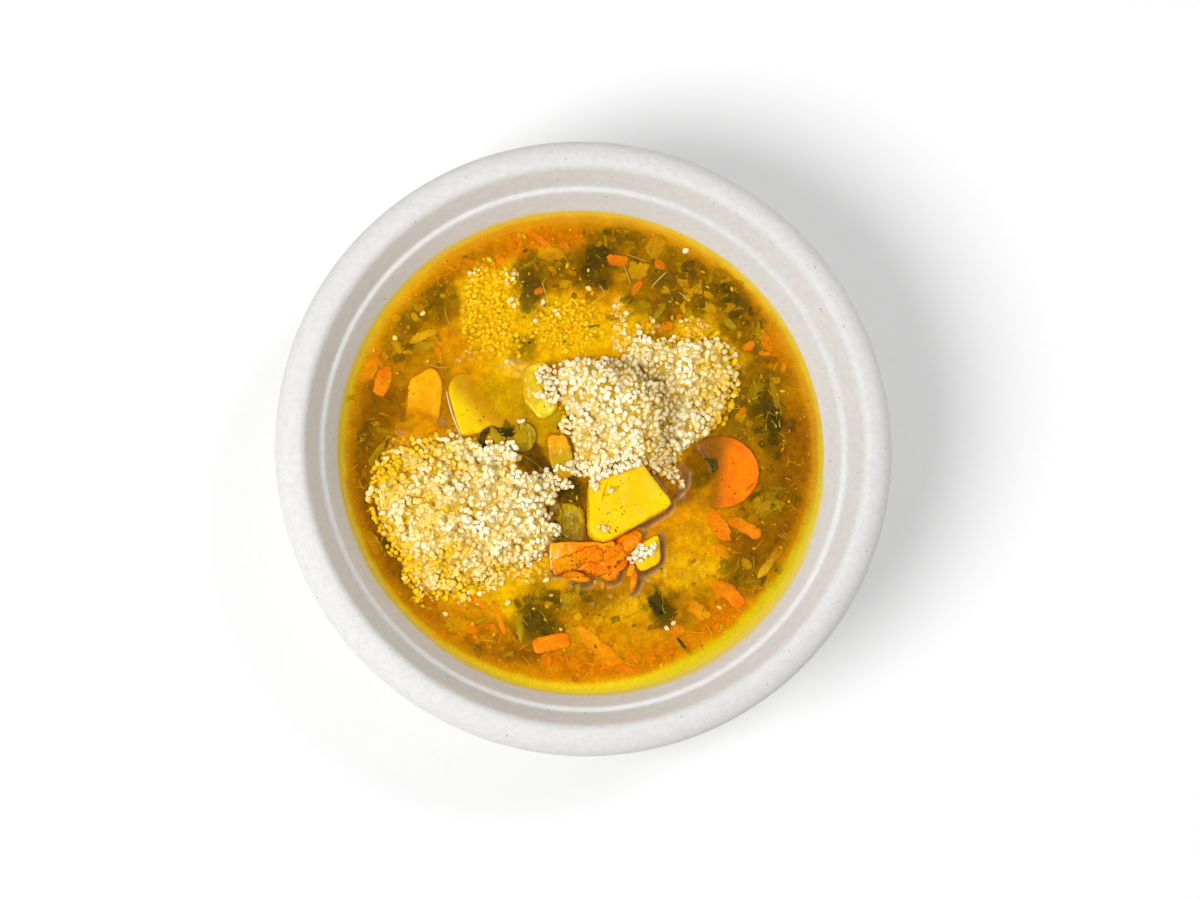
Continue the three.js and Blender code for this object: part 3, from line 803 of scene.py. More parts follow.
@dataclass
class Semolina:
    """The look of the grains: swollen, not quite round, cream where dry and yellow where wet, with painted
    light on their lower sides.
    """

    seed: int
    dry: str = "fff6d4"
    damp: str = "fde8a0"
    wet: str = "f8cc18"
    under: str = "f8d468"  # painted light: a dry grain's lower sides, tinted as if lit through its neighbours
    soaked_painted_glow: str = "e0ae04"  # a wet grain's painted light on its lower sides
    knobs: int = 4
    filling: float = 1.12  # the ones that lie under others are drawn larger

    def heaped(self, grains: Sequence[Grain]) -> Surface:
        """All the grains in one surface, the ones that lie under others of fewer triangles."""
        sorts = ([g for g in grains if g.fine == fine] for fine in (False, True))
        return Surface.joined([self.shaped(sort, fine) for sort, fine in zip(sorts, (False, True))])

    def shaped(self, grains: Sequence[Grain], fine: bool) -> Surface:
        """Grains in one surface, each turned and squashed its own way.

        Args:
            grains: their places.
            fine: whether they have more triangles.

        Returns:
            The surface with its tints.
        """
        draw = np.random.default_rng(self.seed + len(grains))
        body, faces = ball(fine)
        count = len(grains)
        table = np.array([(g.x, g.y, g.z, g.size, g.wet, g.shade) for g in grains]).reshape(-1, 6)
        squash = draw.uniform(0.74, 1.26, (count, 1, 3))
        knobs = draw.normal(size=(count, self.knobs, 3))
        knobs /= np.linalg.norm(knobs, axis=2)[:, :, None]
        knobs = np.clip(2 * np.einsum("vk,nbk->nvb", body, knobs), 0, 1) ** 3
        bumps = 0.76 + 0.48 * knobs.max(axis=2)[:, :, None] + draw.uniform(-0.06, 0.06, (count, len(body), 1))
        turn = draw.normal(size=(count, 4))
        turn /= np.linalg.norm(turn, axis=1)[:, None]
        w, x, y, z = turn.T
        rotation = np.array(
            [
                [1 - 2 * (y * y + z * z), 2 * (x * y - z * w), 2 * (x * z + y * w)],
                [2 * (x * y + z * w), 1 - 2 * (x * x + z * z), 2 * (y * z - x * w)],
                [2 * (x * z - y * w), 2 * (y * z + x * w), 1 - 2 * (x * x + y * y)],
            ]
        )
        body = body * (1.0 if fine else self.filling)
        shapes = np.einsum("jkn,nvk->nvj", rotation, body[None] * squash * bumps)
        wet = table[:, 4:5]
        tints = np.array([linear(c) for c in (self.dry, self.damp, self.wet, self.under, self.soaked_painted_glow)])
        tops = blend(tints[0], tints[1], np.clip(wet[:, 0] * 2, 0, 1))
        tops = blend(tops, tints[2], np.clip(wet[:, 0] * 2 - 1, 0, 1))
        tops[:, :3] *= draw.uniform(0.93, 1.05, (count, 1))
        # Painted light: each grain's lower sides take a golden tint, as if lit through its neighbours
        painted_underglow = tints[3] * (1 - wet) + tints[4] * wet
        colours = blend(np.clip(tops, 0, 1)[:, None], painted_underglow[:, None], 0.85 * ease(shapes[..., 2], 0.34, -0.12))
        # The shade darkens and browns each grain, partly for brown juice and partly as painted shade
        colours[..., :3] *= table[:, None, 5:6] ** np.array([0.9, 1.3, 2.0])
        return Surface.repeated(shapes * table[:, 3, None, None] + table[:, None, :3], faces, colours)


class Pile:
    """Grains that are dropped one after another and rest on the ground or on each other."""

    CELL = 2.4
    NEAR = 1.7

    def __init__(self) -> None:
        """Starts with no grain."""
        self.grains: list[Grain] = []
        self.cells: dict[tuple[int, int], list[Grain]] = {}

    def around(self, x: float, y: float) -> list[Grain]:
        """The grains in the cells round a place."""
        i, j = int(x // self.CELL), int(y // self.CELL)
        return [g for a in (-1, 0, 1) for b in (-1, 0, 1) for g in self.cells.get((i + a, j + b), ())]

    def rest(self, x: float, y: float, size: float, ground: float) -> float:
        """Lets a grain come to rest.

        Args:
            x: its place.
            y: its place.
            size: its width.
            ground: the height of what lies under the grains.

        Returns:
            The height of its middle.
        """
        height = ground + 0.3 * size
        for near in self.around(x, y):
            touch = 0.32 * (size + near.size)
            gap = math.hypot(x - near.x, y - near.y)
            if gap < touch:
                height = max(height, near.z + math.sqrt(touch**2 - gap**2))
        return height

    def level(self, x: float, y: float) -> float:
        """The mean height of the three highest grains near a place."""
        heights = sorted(g.z for g in self.around(x, y) if math.hypot(x - g.x, y - g.y) < self.NEAR)
        return sum(heights[-3:]) / 3 if len(heights) > 2 else 0.0

    def add(self, grain: Grain) -> None:
        """Keeps a grain."""
        self.grains.append(grain)
        self.cells.setdefault((int(grain.x // self.CELL), int(grain.y // self.CELL)), []).append(grain)


@dataclass
class Heap:
    """A heap of couscous: a core that keeps the CAD solid's form, and real grains over it."""

    node: str
    x: float
    y: float
    radius: float
    crown: float
    clump: float
    lobes: tuple[tuple[int, float, float], ...]  # waves of the outline: how many, height, and turn in degrees
    peaks: tuple[tuple[float, float, float, float], ...]  # place from the heap's middle, rise and spread
    seed: int
    wet_side: Spot  # direction in which the grains get wetter
    clean_side: float  # direction in degrees in which its edge is sharp
    depth: float = 10.0
    clump_size: float = 7.5
    grain: float = 2.08
    spacing: float = 1.6
    cover_spacing: float = 2.1
    tuft_spacing: float = 3.5
    tuft_spread: float = 1.05
    tuft_grains: tuple[int, int] = (3, 14)
    bed_shade: float = 0.95  # how bright the bed is
    damp: float = 0.97  # how wet the bed is
    hollow: str = "e8b820"  # the core's tints
    swollen: str = "fce488"
    valley: tuple[Spot, ...] = ()  # a line along which the heap is low and its grains and core are darker, partly brown juice and partly painted shade
    valley_width: float = 4.2
    bare: tuple[tuple[float, float, float, float], ...] = ()  # open broth: place, radius, share of grains left

    def noise(self, place: int, size: float, octaves: int, spots: Array) -> Array:
        """Noise about 0.5 that is the same for the core and the grains.

        Args:
            place: which of the heap's noises.
            size: width of its lumps.
            octaves: how many sizes of lump are added up.
            spots: places from the heap's middle.

        Returns:
            A number for each place.
        """
        return Clouds(self.seed + place, size, octaves).at(spots)

    def edge(self, angle: Array) -> Array:
        """The outline's radius at the waterline."""
        waves = (size * np.cos(count * (angle - math.radians(turn))) for count, size, turn in self.lobes)
        return self.radius + sum(waves)

    def rise(self, x: Array, y: Array) -> Array:
        """The height of the dome over the broth, before it falls to the outline.

        Args:
            x: places from the heap's middle.
            y: places from the heap's middle.

        Returns:
            A height for each.
        """
        wave = FULL_TURN / self.clump_size
        clumps = np.sin(wave * x + np.sin(0.6 * wave * y)) * np.cos(wave * y + np.sin(0.8 * wave * x))
        peaks = sum(up * np.exp(-((x - a) ** 2 + (y - b) ** 2) / wide**2) for a, b, up, wide in self.peaks)
        return self.crown + self.clump * clumps + peaks - 1.6 * self.lowness(x, y)

    def lowness(self, x: Array, y: Array) -> Array:
        """How close to the valley's line places are.

        Args:
            x: places from the heap's middle.
            y: places from the heap's middle.

        Returns:
            1 on the line, and 0 far from it.
        """
        best = np.zeros(np.shape(x))
        for (ax, ay), end in zip(self.valley[:-1], self.valley[1:]):
            bx, by = end[0] - ax, end[1] - ay
            along = np.clip(((x - ax) * bx + (y - ay) * by) / (bx * bx + by * by), 0, 1)
            gap = np.hypot(x - ax - along * bx, y - ay - along * by)
            best = np.maximum(best, np.exp(-((gap / self.valley_width) ** 2)))
        return best

    def core(self, ground: Ground, pile: Pile) -> Surface:
        """The swollen mass between the grains, kept below the vegetables that stand in it.

        Args:
            ground: the vegetables.
            pile: the grains, whose lower halves it fills in.

        Returns:
            The closed body.
        """
        dome = [(math.cos(tilt), math.sin(tilt)) for tilt in np.linspace(0, math.pi / 2, 34)[-2::-1]]
        surface = Surface.turned(np.array([(0.0, 1.0), *dome, (0.75, -0.66), (0.0, -1.0)]), 150)
        u, v, w = surface.points.T
        reach = self.edge(np.arctan2(v, u))
        x, y = u * reach, v * reach
        lumps = self.noise(3, 3.0, 2, np.c_[x, y]) - 0.5
        cracks = ease(self.noise(15, 3.2, 2, np.c_[x, y]), 0.48, 0.72)
        z = LEVEL + np.where(w > 0, w * (self.rise(x, y) - 0.3 + 0.5 * lumps), w * self.depth)
        z -= 0.7 * ease(np.hypot(u, v), 0.8, 1.0) * (w >= 0)
        x, y = x + self.x, y + self.y
        for i in np.nonzero(w > 0)[0]:
            if any(math.hypot(x[i] - a, y[i] - b) < r + 0.4 for a, b, r, _ in self.bare):
                z[i] = LEVEL - 1.6
                continue
            if math.hypot(u[i], v[i]) < 0.97:
                z[i] = max(z[i], pile.level(x[i], y[i]) + 0.12 - cracks[i])
            top = ground.top(x[i], y[i])
            if top is not None and z[i] > top - 1.0:
                z[i] = max(top - 1.0, LEVEL - 3)
        surface.points = np.c_[x, y, z]
        mix = ease(self.noise(5, 4.0, 3, surface.points), 0.3, 0.7)
        tint = blend(np.array(linear(self.hollow)), np.array(linear(self.swollen)), mix)
        # Painted shade, with brown juice, darkens the core along the valley
        tint[:, :3] *= 1 - 0.5 * self.lowness(x - self.x, y - self.y)[:, None]
        return surface.painted("tint", tint)

    def net(self, spacing: float, draw: Random) -> Array:
        """A hexagonal net over the heap.

        Args:
            spacing: the distance between its knots.
            draw: the source of chance.

        Returns:
            The knots from the heap's middle, jittered and in random order.
        """
        reach = self.radius * 1.4
        row = spacing * math.sin(math.pi / 3)
        rows, columns = int(2 * reach / row), int(2 * reach / spacing)
        cells = ((i, j) for j in range(rows) for i in range(columns))
        knots = [((i + j % 2 / 2) * spacing - reach, j * row - reach) for i, j in cells]
        return draw.permutation(np.array(knots) + draw.normal(0, 0.26, (len(knots), 2)) * spacing)

    def pile(self, ground: Ground) -> Pile:
        """Drops a bed of damp grains on the core, a cover of drier ones, and tufts on the cover.

        Args:
            ground: the vegetables, which the grains keep clear of.

        Returns:
            The grains at rest.
        """
        draw = np.random.default_rng(self.seed)
        pile = Pile()
        for spacing, dry in ((self.spacing, 0.0), (self.cover_spacing, 0.5)):
            for x, y in self.net(spacing, draw):
                self.drop(pile, ground, draw, x, y, dry)
        for x, y in self.net(self.tuft_spacing, draw):
            for dx, dy in draw.normal(0, self.tuft_spread, (int(draw.integers(*self.tuft_grains)), 2)):
                self.drop(pile, ground, draw, x + dx, y + dy, 1.0)
        return pile

    def drop(self, pile: Pile, ground: Ground, draw: Random, x: float, y: float, dry: float) -> None:
        """Drops one grain, if there is room for it.

        Args:
            pile: the grains so far.
            ground: the vegetables.
            draw: the source of chance.
            x: its place from the heap's middle.
            y: its place from the heap's middle.
            dry: 0 for the damp bed, more for the cover, 1 for a tuft.
        """
        size = self.grain * draw.uniform(0.66, 1.22)
        luck = draw.random()
        spot = np.array([[x, y]])
        share = float(math.hypot(x, y) / self.edge(math.atan2(y, x)))
        ragged = float(self.noise(9, 5.0, 2, spot)[0]) - 0.5
        ragged *= abs((math.degrees(math.atan2(y, x)) - self.clean_side + 180) % 360 - 180) > 24
        if share > 1.0 + (0.12 * luck if ragged else 0.0) + 0.45 * max(0.0, ragged) - 0.04 * dry:
            return
        fall = math.sqrt(max(0.0, 1 - share**2))
        lumps = float(self.noise(17, 5.5, 2, spot)[0]) - 0.5
        base = LEVEL + fall * (float(self.rise(x, y)) + 2.6 * lumps) - 0.9
        if share >= 1:
            base = LEVEL - 1.0 - 4 * (share - 1)
        px, py = self.x + x, self.y + y
        if any(math.hypot(px - a, py - b) < r and luck > left for a, b, r, left in self.bare):
            return
        z = pile.rest(px, py, size, base)
        if z - base > 0.9 + dry * (1.2 + 2.6 * fall) or ground.clearance(px, py, z) < 0.34 * size:
            return
        low = float(self.lowness(x, y))
        side = (x * self.wet_side[0] + y * self.wet_side[1]) / self.radius
        patch = float(self.noise(13, 6.0, 2, spot)[0]) - 0.5
        wet = self.damp - 0.5 * dry + 0.7 * side * (1 - 0.3 * dry) + 1.3 * patch
        wet += draw.normal(0, 0.09) - 0.4 * low
        # Wetter at the waterline, drier on the peaks
        wet += 0.35 * (1 - dry) * max(0.0, 1 - (z - LEVEL) / 2.0) - 0.08 * max(0.0, z - LEVEL - 5.5)
        # Painted shade and light: grains darker in the valley and in the hollows between lumps, brighter on
        # the lumps
        shade = (1 - (1 - dry) * (1 - self.bed_shade)) * (1 - 0.34 * low) * (1 + 0.2 * lumps)
        pile.add(Grain(px, py, z, size, min(1.0, max(0.0, wet)), shade, dry > 0.4))

    def build(self, ground: Ground) -> tuple[Surface, Surface]:
        """Makes the core and the grains.

        Args:
            ground: the vegetables.

        Returns:
            Both surfaces.
        """
        pile = self.pile(ground)
        core = self.core(ground, pile)
        core.made(self.node + "_core", SEDIMENT, "couscous", [self.node])
        # The rest lie inside the core
        seen = [g for g in pile.grains if g.z + 0.6 * g.size > pile.level(g.x, g.y) - 0.7]
        grains = Semolina(self.seed).heaped(seen)
        grains.made(self.node + "_grains", SEMOLINA, "couscous")
        return core, grains


HEAPS = [
    Heap(
        "couscous_heap_left",
        x=-37.6,
        y=-20.2,
        radius=26.7,
        crown=3.0,
        clump=0.6,
        lobes=((2, 3.1, 4), (3, 1.9, 9), (4, 1.3, -18)),
        peaks=((8, -2, 2.6, 11), (-6, 9, 1.2, 8), (20, 6, 1.6, 7)),
        seed=11,
        wet_side=(-0.7, -0.35),
        clean_side=38.0,
        bare=(
            (-18.0, -5.0, 3.4, 0.0),
            (-13.4, -8.2, 2.2, 0.0),
            (-8.8, -21.0, 3.4, 0.08),
            (-6.4, -15.6, 3.0, 0.06),
            (-62.0, -36.5, 4.6, 0.25),
        ),
    ),
    Heap(
        "couscous_heap_right",
        x=20.6,
        y=15.7,
        radius=24.2,
        crown=3.2,
        clump=0.7,
        lobes=((2, 4.7, 18), (3, 1.7, 42), (5, 1.6, 17), (6, 2, -20)),
        peaks=((-10, -4, 4.6, 11), (12, 8, 2.8, 8), (2, -20, 1.8, 7)),
        seed=29,
        wet_side=(0.5, 0.2),
        clean_side=-40.0,
        bed_shade=0.9,
        damp=0.76,
        valley=((-10.0, 14.0), (4.0, 6.0), (8.5, -1.0), (6.0, -12.0)),
    ),
]


@dataclass(frozen=True)
class Patch(Oval):
    """A patch of grains in the broth: the depth of its top below the surface, its fill and wetness."""

    deep: float = 1.2
    fill: float = 0.22  # grains to a square millimetre
    wet: float = 0.85


# Place, half widths, turn, depth, fill and wetness
PATCHES = [
    Patch(*row)
    for row in (
        (-30.6, 46.0, 9.5, 15.5, 0.0, -0.3, 1.0, 1.3), (-35.5, 57.5, 3.2, 2.6, 0.0, -0.3, 0.6, 0.5),
        (-24.0, 57.0, 3.0, 2.8, 0.0, -0.3, 0.6, 0.5), (-22.5, 47.5, 2.6, 3.2, 0.0, -0.2, 0.6, 0.6),
        (-36.0, 32.0, 6.0, 3.0, 25, 0.1, 0.6), (-5.0, 41.0, 12.5, 9.5, 0.0, -0.1, 0.9, 1.3),
        (-10.5, 46.5, 6.0, 2.4, -20, -0.1, 0.6, 0.6), (-14.5, 41.5, 2.0, 4.0, 0.0, -0.1, 0.6, 0.6),
        (12.2, 44.0, 3.2, 6.5, 0.0, -0.2, 0.6, 0.6), (13.5, 36.0, 4.5, 4.0, 0.0, -0.3, 0.6, 0.5),
        (22.0, 41.0, 4.5, 3.0, 0.0, 0.1, 0.6), (36.3, 41.4, 4.6, 4.2, 0.0, 0.0, 0.8, 0.75),
        (43.5, 31.9, 9.0, 4.6, -20, -0.7, 0.60, 0.35), (49.0, 25.0, 4.0, 4.0, 0.0, 0.3, 0.30),
        (-24.3, 26.5, 4.0, 2.4, 0.0, -0.7, 0.50, 0.2), (-27.7, 19.9, 4.0, 3.8, 0.0, -0.9, 0.40, 0.9),
        (-21.0, 20.0, 4.5, 5.0, 0.0, -0.4, 0.25, 0.9), (-24.0, 36.0, 6.0, 6.0, 0.0, 0.0, 0.6, 1.2),
        (-37.0, -43.5, 15.0, 4.6, 8, -0.4, 0.7, 0.7), (-18.0, -38.5, 10.0, 5.0, -8, 0.1, 0.45, 0.8),
        (-62.5, -17.0, 3.4, 7.0, 0.0, 0.0, 0.6, 0.7), (-60.5, -4.5, 6.0, 4.5, 30, 0.0, 0.6, 0.9),
        (-43.0, 2.0, 10.0, 2.5, 5, 0.1, 0.5), (-49.0, -45.5, 6.0, 3.0, -30, 0.2, 0.40, 0.6),
        (-52.0, 3.0, 12.0, 3.0, 8, 0.2, 0.35, 0.8), (30.0, -40.0, 12.0, 6.0, 20, 1.2, 0.12),
        (12.0, -50.0, 10.0, 4.0, 0.0, 1.2, 0.12), (54.0, 12.0, 5.0, 9.0, 0.0, 0.9, 0.10),
    )
]

# Single grains at the surface: place, and how wet
SINGLES = [
    (-38.6, -40.6, 0.45), (-32.1, -40.2, 0.4), (-30.2, -43.4, 0.5), (-17.3, -37.5, 0.35),
    (-11.8, -42.3, 0.5), (-24.1, -49.8, 0.6), (-44.0, -53.5, 0.6), (27.3, -57.5, 0.2), (29.4, -56.0, 0.5),
    (33.9, 66.0, 0.2), (-52.0, 44.0, 0.7), (-61.0, 36.0, 0.8), (2.0, 53.0, 0.8), (-57.5, -25.5, 0.2),
    (-56.0, -38.5, 0.3), (-54.2, -39.6, 0.3), (44.0, 37.0, 0.2),
]


@dataclass(frozen=True)
class Topping(Oval):
    """Grains that stuck to the top of a vegetable: their number, and how wet and how bright they are."""

    count: int
    wet: float
    shade: float
    afloat: bool  # lies on the broth where there is no vegetable


# Place, half widths, turn, number, wetness and shade of those that float and of those that don't
TOPPINGS = [
    Topping(*row, afloat=afloat)
    for afloat, rows in (
        (
            True,
            (
                (25.2, -4.2, 3.6, 3.0, -45, 50, 0.35, 0.75), (28.6, -7.4, 3.6, 2.2, -50, 38, 0.3, 0.82),
                (31.6, -10.6, 2.2, 1.2, -60, 12, 0.3, 0.95), (-8.4, -7.0, 4.0, 2.0, 10, 10, 0.15, 1.0),
                (-1.0, -6.0, 4.4, 2.4, 0, 60, 0.1, 1.0), (4.5, -7.0, 4.2, 2.8, 10, 100, 0.0, 1.05),
                (-6.6, -10.8, 3.8, 1.3, -20, 40, 0.1, 0.98), (-23.2, -0.8, 2.2, 2.9, 20, 40, 0.0, 1.06),
                (-13.0, -9.6, 2.4, 1.4, -30, 14, 0.1, 0.95), (-11.0, -10.6, 1.6, 2.6, 30, 9, 0.2, 0.9),
                (19.0, -33.4, 4.6, 2.5, 30, 50, 0.0, 1.05),
            ),
        ),
        (
            False,
            (
                (15.6, -36.6, 1.8, 1.6, 0, 6, 0.05, 1.0), (-13.2, 24.2, 3.6, 2.4, 60, 15, 0.1, 1.0),
                (-10.2, 19.6, 2.6, 4.6, 20, 30, 0.1, 1.0), (-13.6, 17.8, 1.6, 1.6, 0, 5, 0.25, 1.0),
                (2.6, -11.0, 2.2, 3.2, 10, 12, 0.2, 1.0), (5.5, -26.0, 2.2, 1.2, 0, 4, 0.6, 1.0),
                (9.6, -5.6, 5.0, 2.6, 12, 110, 0.0, 1.05), (15.0, -4.6, 3.6, 1.8, 10, 44, 0.05, 1.0),
                (6.4, -9.0, 2.2, 1.6, -20, 6, 0.1, 1.0), (8.4, -13.6, 1.8, 0.6, 5, 3, 0.25, 1.0),
                (-20.0, 8.4, 1.6, 1.0, 30, 3, 0.1, 1.0),
            ),
        ),
    )
    for row in rows
]


@dataclass
class LooseCouscous:
    """Grains outside the heaps: sunk in patches, floating alone, and stuck on vegetables."""

    size: float = 1.95
    seed: int = 71

    def sunk(self, ground: Ground) -> list[Grain]:
        """The patches' grains, each clear of the vegetables and heaps.

        Args:
            ground: the vegetables and the heaps.

        Returns:
            The grains.
        """
        draw = np.random.default_rng(self.seed)
        pile = Pile()
        for patch in PATCHES:
            for _ in range(int(math.pi * patch.long * patch.wide * patch.fill)):
                reach = math.sqrt(draw.random()) * draw.uniform(0.75, 1.12)
                x, y = patch.spot(reach, draw.uniform(0, FULL_TURN))
                size = self.size * draw.uniform(0.75, 1.1)
                z = pile.rest(x, y, size, LEVEL - patch.deep - 1.2 * size - draw.uniform(0, 0.6))
                highest = LEVEL - patch.deep - 0.5 * size + draw.uniform(0, 0.7)
                if z > highest or ground.clearance(x, y, z) < 0.3 * size:
                    continue
                wet = patch.wet + draw.normal(0, 0.12) - 0.25 * max(0.0, z + size / 2 - LEVEL)
                pile.add(Grain(x, y, z, size, min(1.0, max(0.0, wet)), fine=patch.deep < 0))
        return pile.grains

    def floating(self) -> list[Grain]:
        """The single grains, half out of the broth."""
        draw = np.random.default_rng(self.seed + 1)
        return [Grain(x, y, LEVEL - 0.25, self.size * draw.uniform(0.9, 1.15), wet) for x, y, wet in SINGLES]

    def stuck(self, ground: Ground) -> list[Grain]:
        """The toppings' grains, resting on the vegetables.

        Args:
            ground: the vegetables and the heaps.

        Returns:
            The grains.
        """
        draw = np.random.default_rng(self.seed + 2)
        pile = Pile()
        for topping in TOPPINGS:
            for _ in range(topping.count):
                reach = math.sqrt(draw.random())
                x, y = topping.spot(reach, draw.uniform(0, FULL_TURN))
                size = self.size * draw.uniform(0.75, 1.05)
                base = ground.top(x, y) or 0.0
                if topping.afloat:
                    base = max(base, LEVEL - 0.6)
                if base < LEVEL - 0.65:
                    continue
                z = pile.rest(x, y, size, base - 0.2)
                if z < base + 2.6:
                    wet = min(1.0, max(0.0, topping.wet + draw.normal(0, 0.1)))
                    pile.add(Grain(x, y, z, size, wet, topping.shade))
        return pile.grains

    def build(self, ground: Ground) -> list[Surface]:
        """Makes the sunk grains and the stranded ones.

        Args:
            ground: the vegetables and the heaps' cores.

        Returns:
            Both surfaces.
        """
        look = Semolina(self.seed)
        sunk = look.heaped(self.sunk(ground) + self.floating())
        sunk.made("sunk_couscous", SEMOLINA, "couscous")
        stuck = look.heaped(self.stuck(ground))
        stuck.made("stranded_couscous", SEMOLINA, "couscous")
        return [sunk, stuck]


# Vegetables, leaves and crumbs in the broth


class Kind(Enum):
    """What a small piece is: the two tints that it mixes."""

    CARROT = ("fc9400", "f07400")
    PALE_CARROT = ("faa800", "ec8a00")
    CELERY = ("c4a400", "9c7e00")
    ONION = ("ecb400", "cc9000")
    LEAF = ("5c4c00", "342c00")
    OLIVE_LEAF = ("846400", "584400")


CARROT, PALE_CARROT, CELERY, ONION, LEAF, OLIVE_LEAF = Kind


@dataclass(frozen=True)
class Morsel:
    """A small piece in the broth: a slab with a rough outline, its top at a depth below the surface."""

    kind: Kind
    x: float
    y: float
    length: float
    width: float
    turn: float
    deep: float
    square: float = 3.0  # the outline's power: 2 is an oval, 6 nearly a rectangle
    ragged: float = 0.10
    thick: float = 1.6
    crumple: float = 0.12
    tilt: float = 3.0

    def surface(self, seed: int) -> Surface:
        """The slab's closed surface.

        Args:
            seed: the draw of its outline.

        Returns:
            The surface with its tints.
        """
        draw = np.random.default_rng(seed)
        around = 16 if max(self.length, self.width) < 5 else 40
        angles = np.arange(around) / around * FULL_TURN
        half = np.array([self.length, self.width]) / 2
        power = self.square
        outline = np.abs(np.cos(angles) / half[0]) ** power + np.abs(np.sin(angles) / half[1]) ** power
        outline = outline ** (-1 / power)
        for count in (2, 3, 5, 7, 11, 16)[: around // 6]:
            outline *= 1 + self.ragged * draw.normal(0, 0.5) * np.cos(count * angles + draw.uniform(0, 6))
        bevel = min(0.35, self.thick * 0.3)
        steps = [(0.4, -0.02), (0.75, -0.05), (0.93, -0.3), (1.0, -1.0)]
        steps = [(share, drop * bevel) for share, drop in steps]
        steps += [(share, -self.thick - drop) for share, drop in reversed(steps)]
        circle = outline[:, None] * np.c_[np.cos(angles), np.sin(angles)]
        rings = [np.c_[share * circle, np.full(around, z)] for share, z in steps]
        surface = Surface.through([np.zeros((1, 3)), *rings, np.array([(0.0, 0.0, -self.thick)])])
        local = surface.points
        folds = Clouds(seed, max(1.4, 0.35 * half.min() + 0.8), 2).at(local[:, :2] + 31.0) - 0.5
        local[:, 2] += 2 * self.crumple * folds
        streaks = Clouds(seed + 1, 1.3, 2).at(local * np.array([0.35, 1.0, 1.0]) + 17.0)
        light, dark = (np.array(linear(tint)) for tint in self.kind.value)
        turn = Matrix.Rotation(math.radians(self.turn), 3, "Z")
        lean = Matrix.Rotation(math.radians(draw.normal(0, self.tilt)), 3, "Y")
        lean @= Matrix.Rotation(math.radians(draw.normal(0, self.tilt)), 3, "X")
        surface.points = local @ np.array(turn @ lean).T + np.array([self.x, self.y, LEVEL - self.deep])
        return surface.painted("tint", blend(light, dark, np.clip(1.6 * streaks - 0.3, 0, 1)))


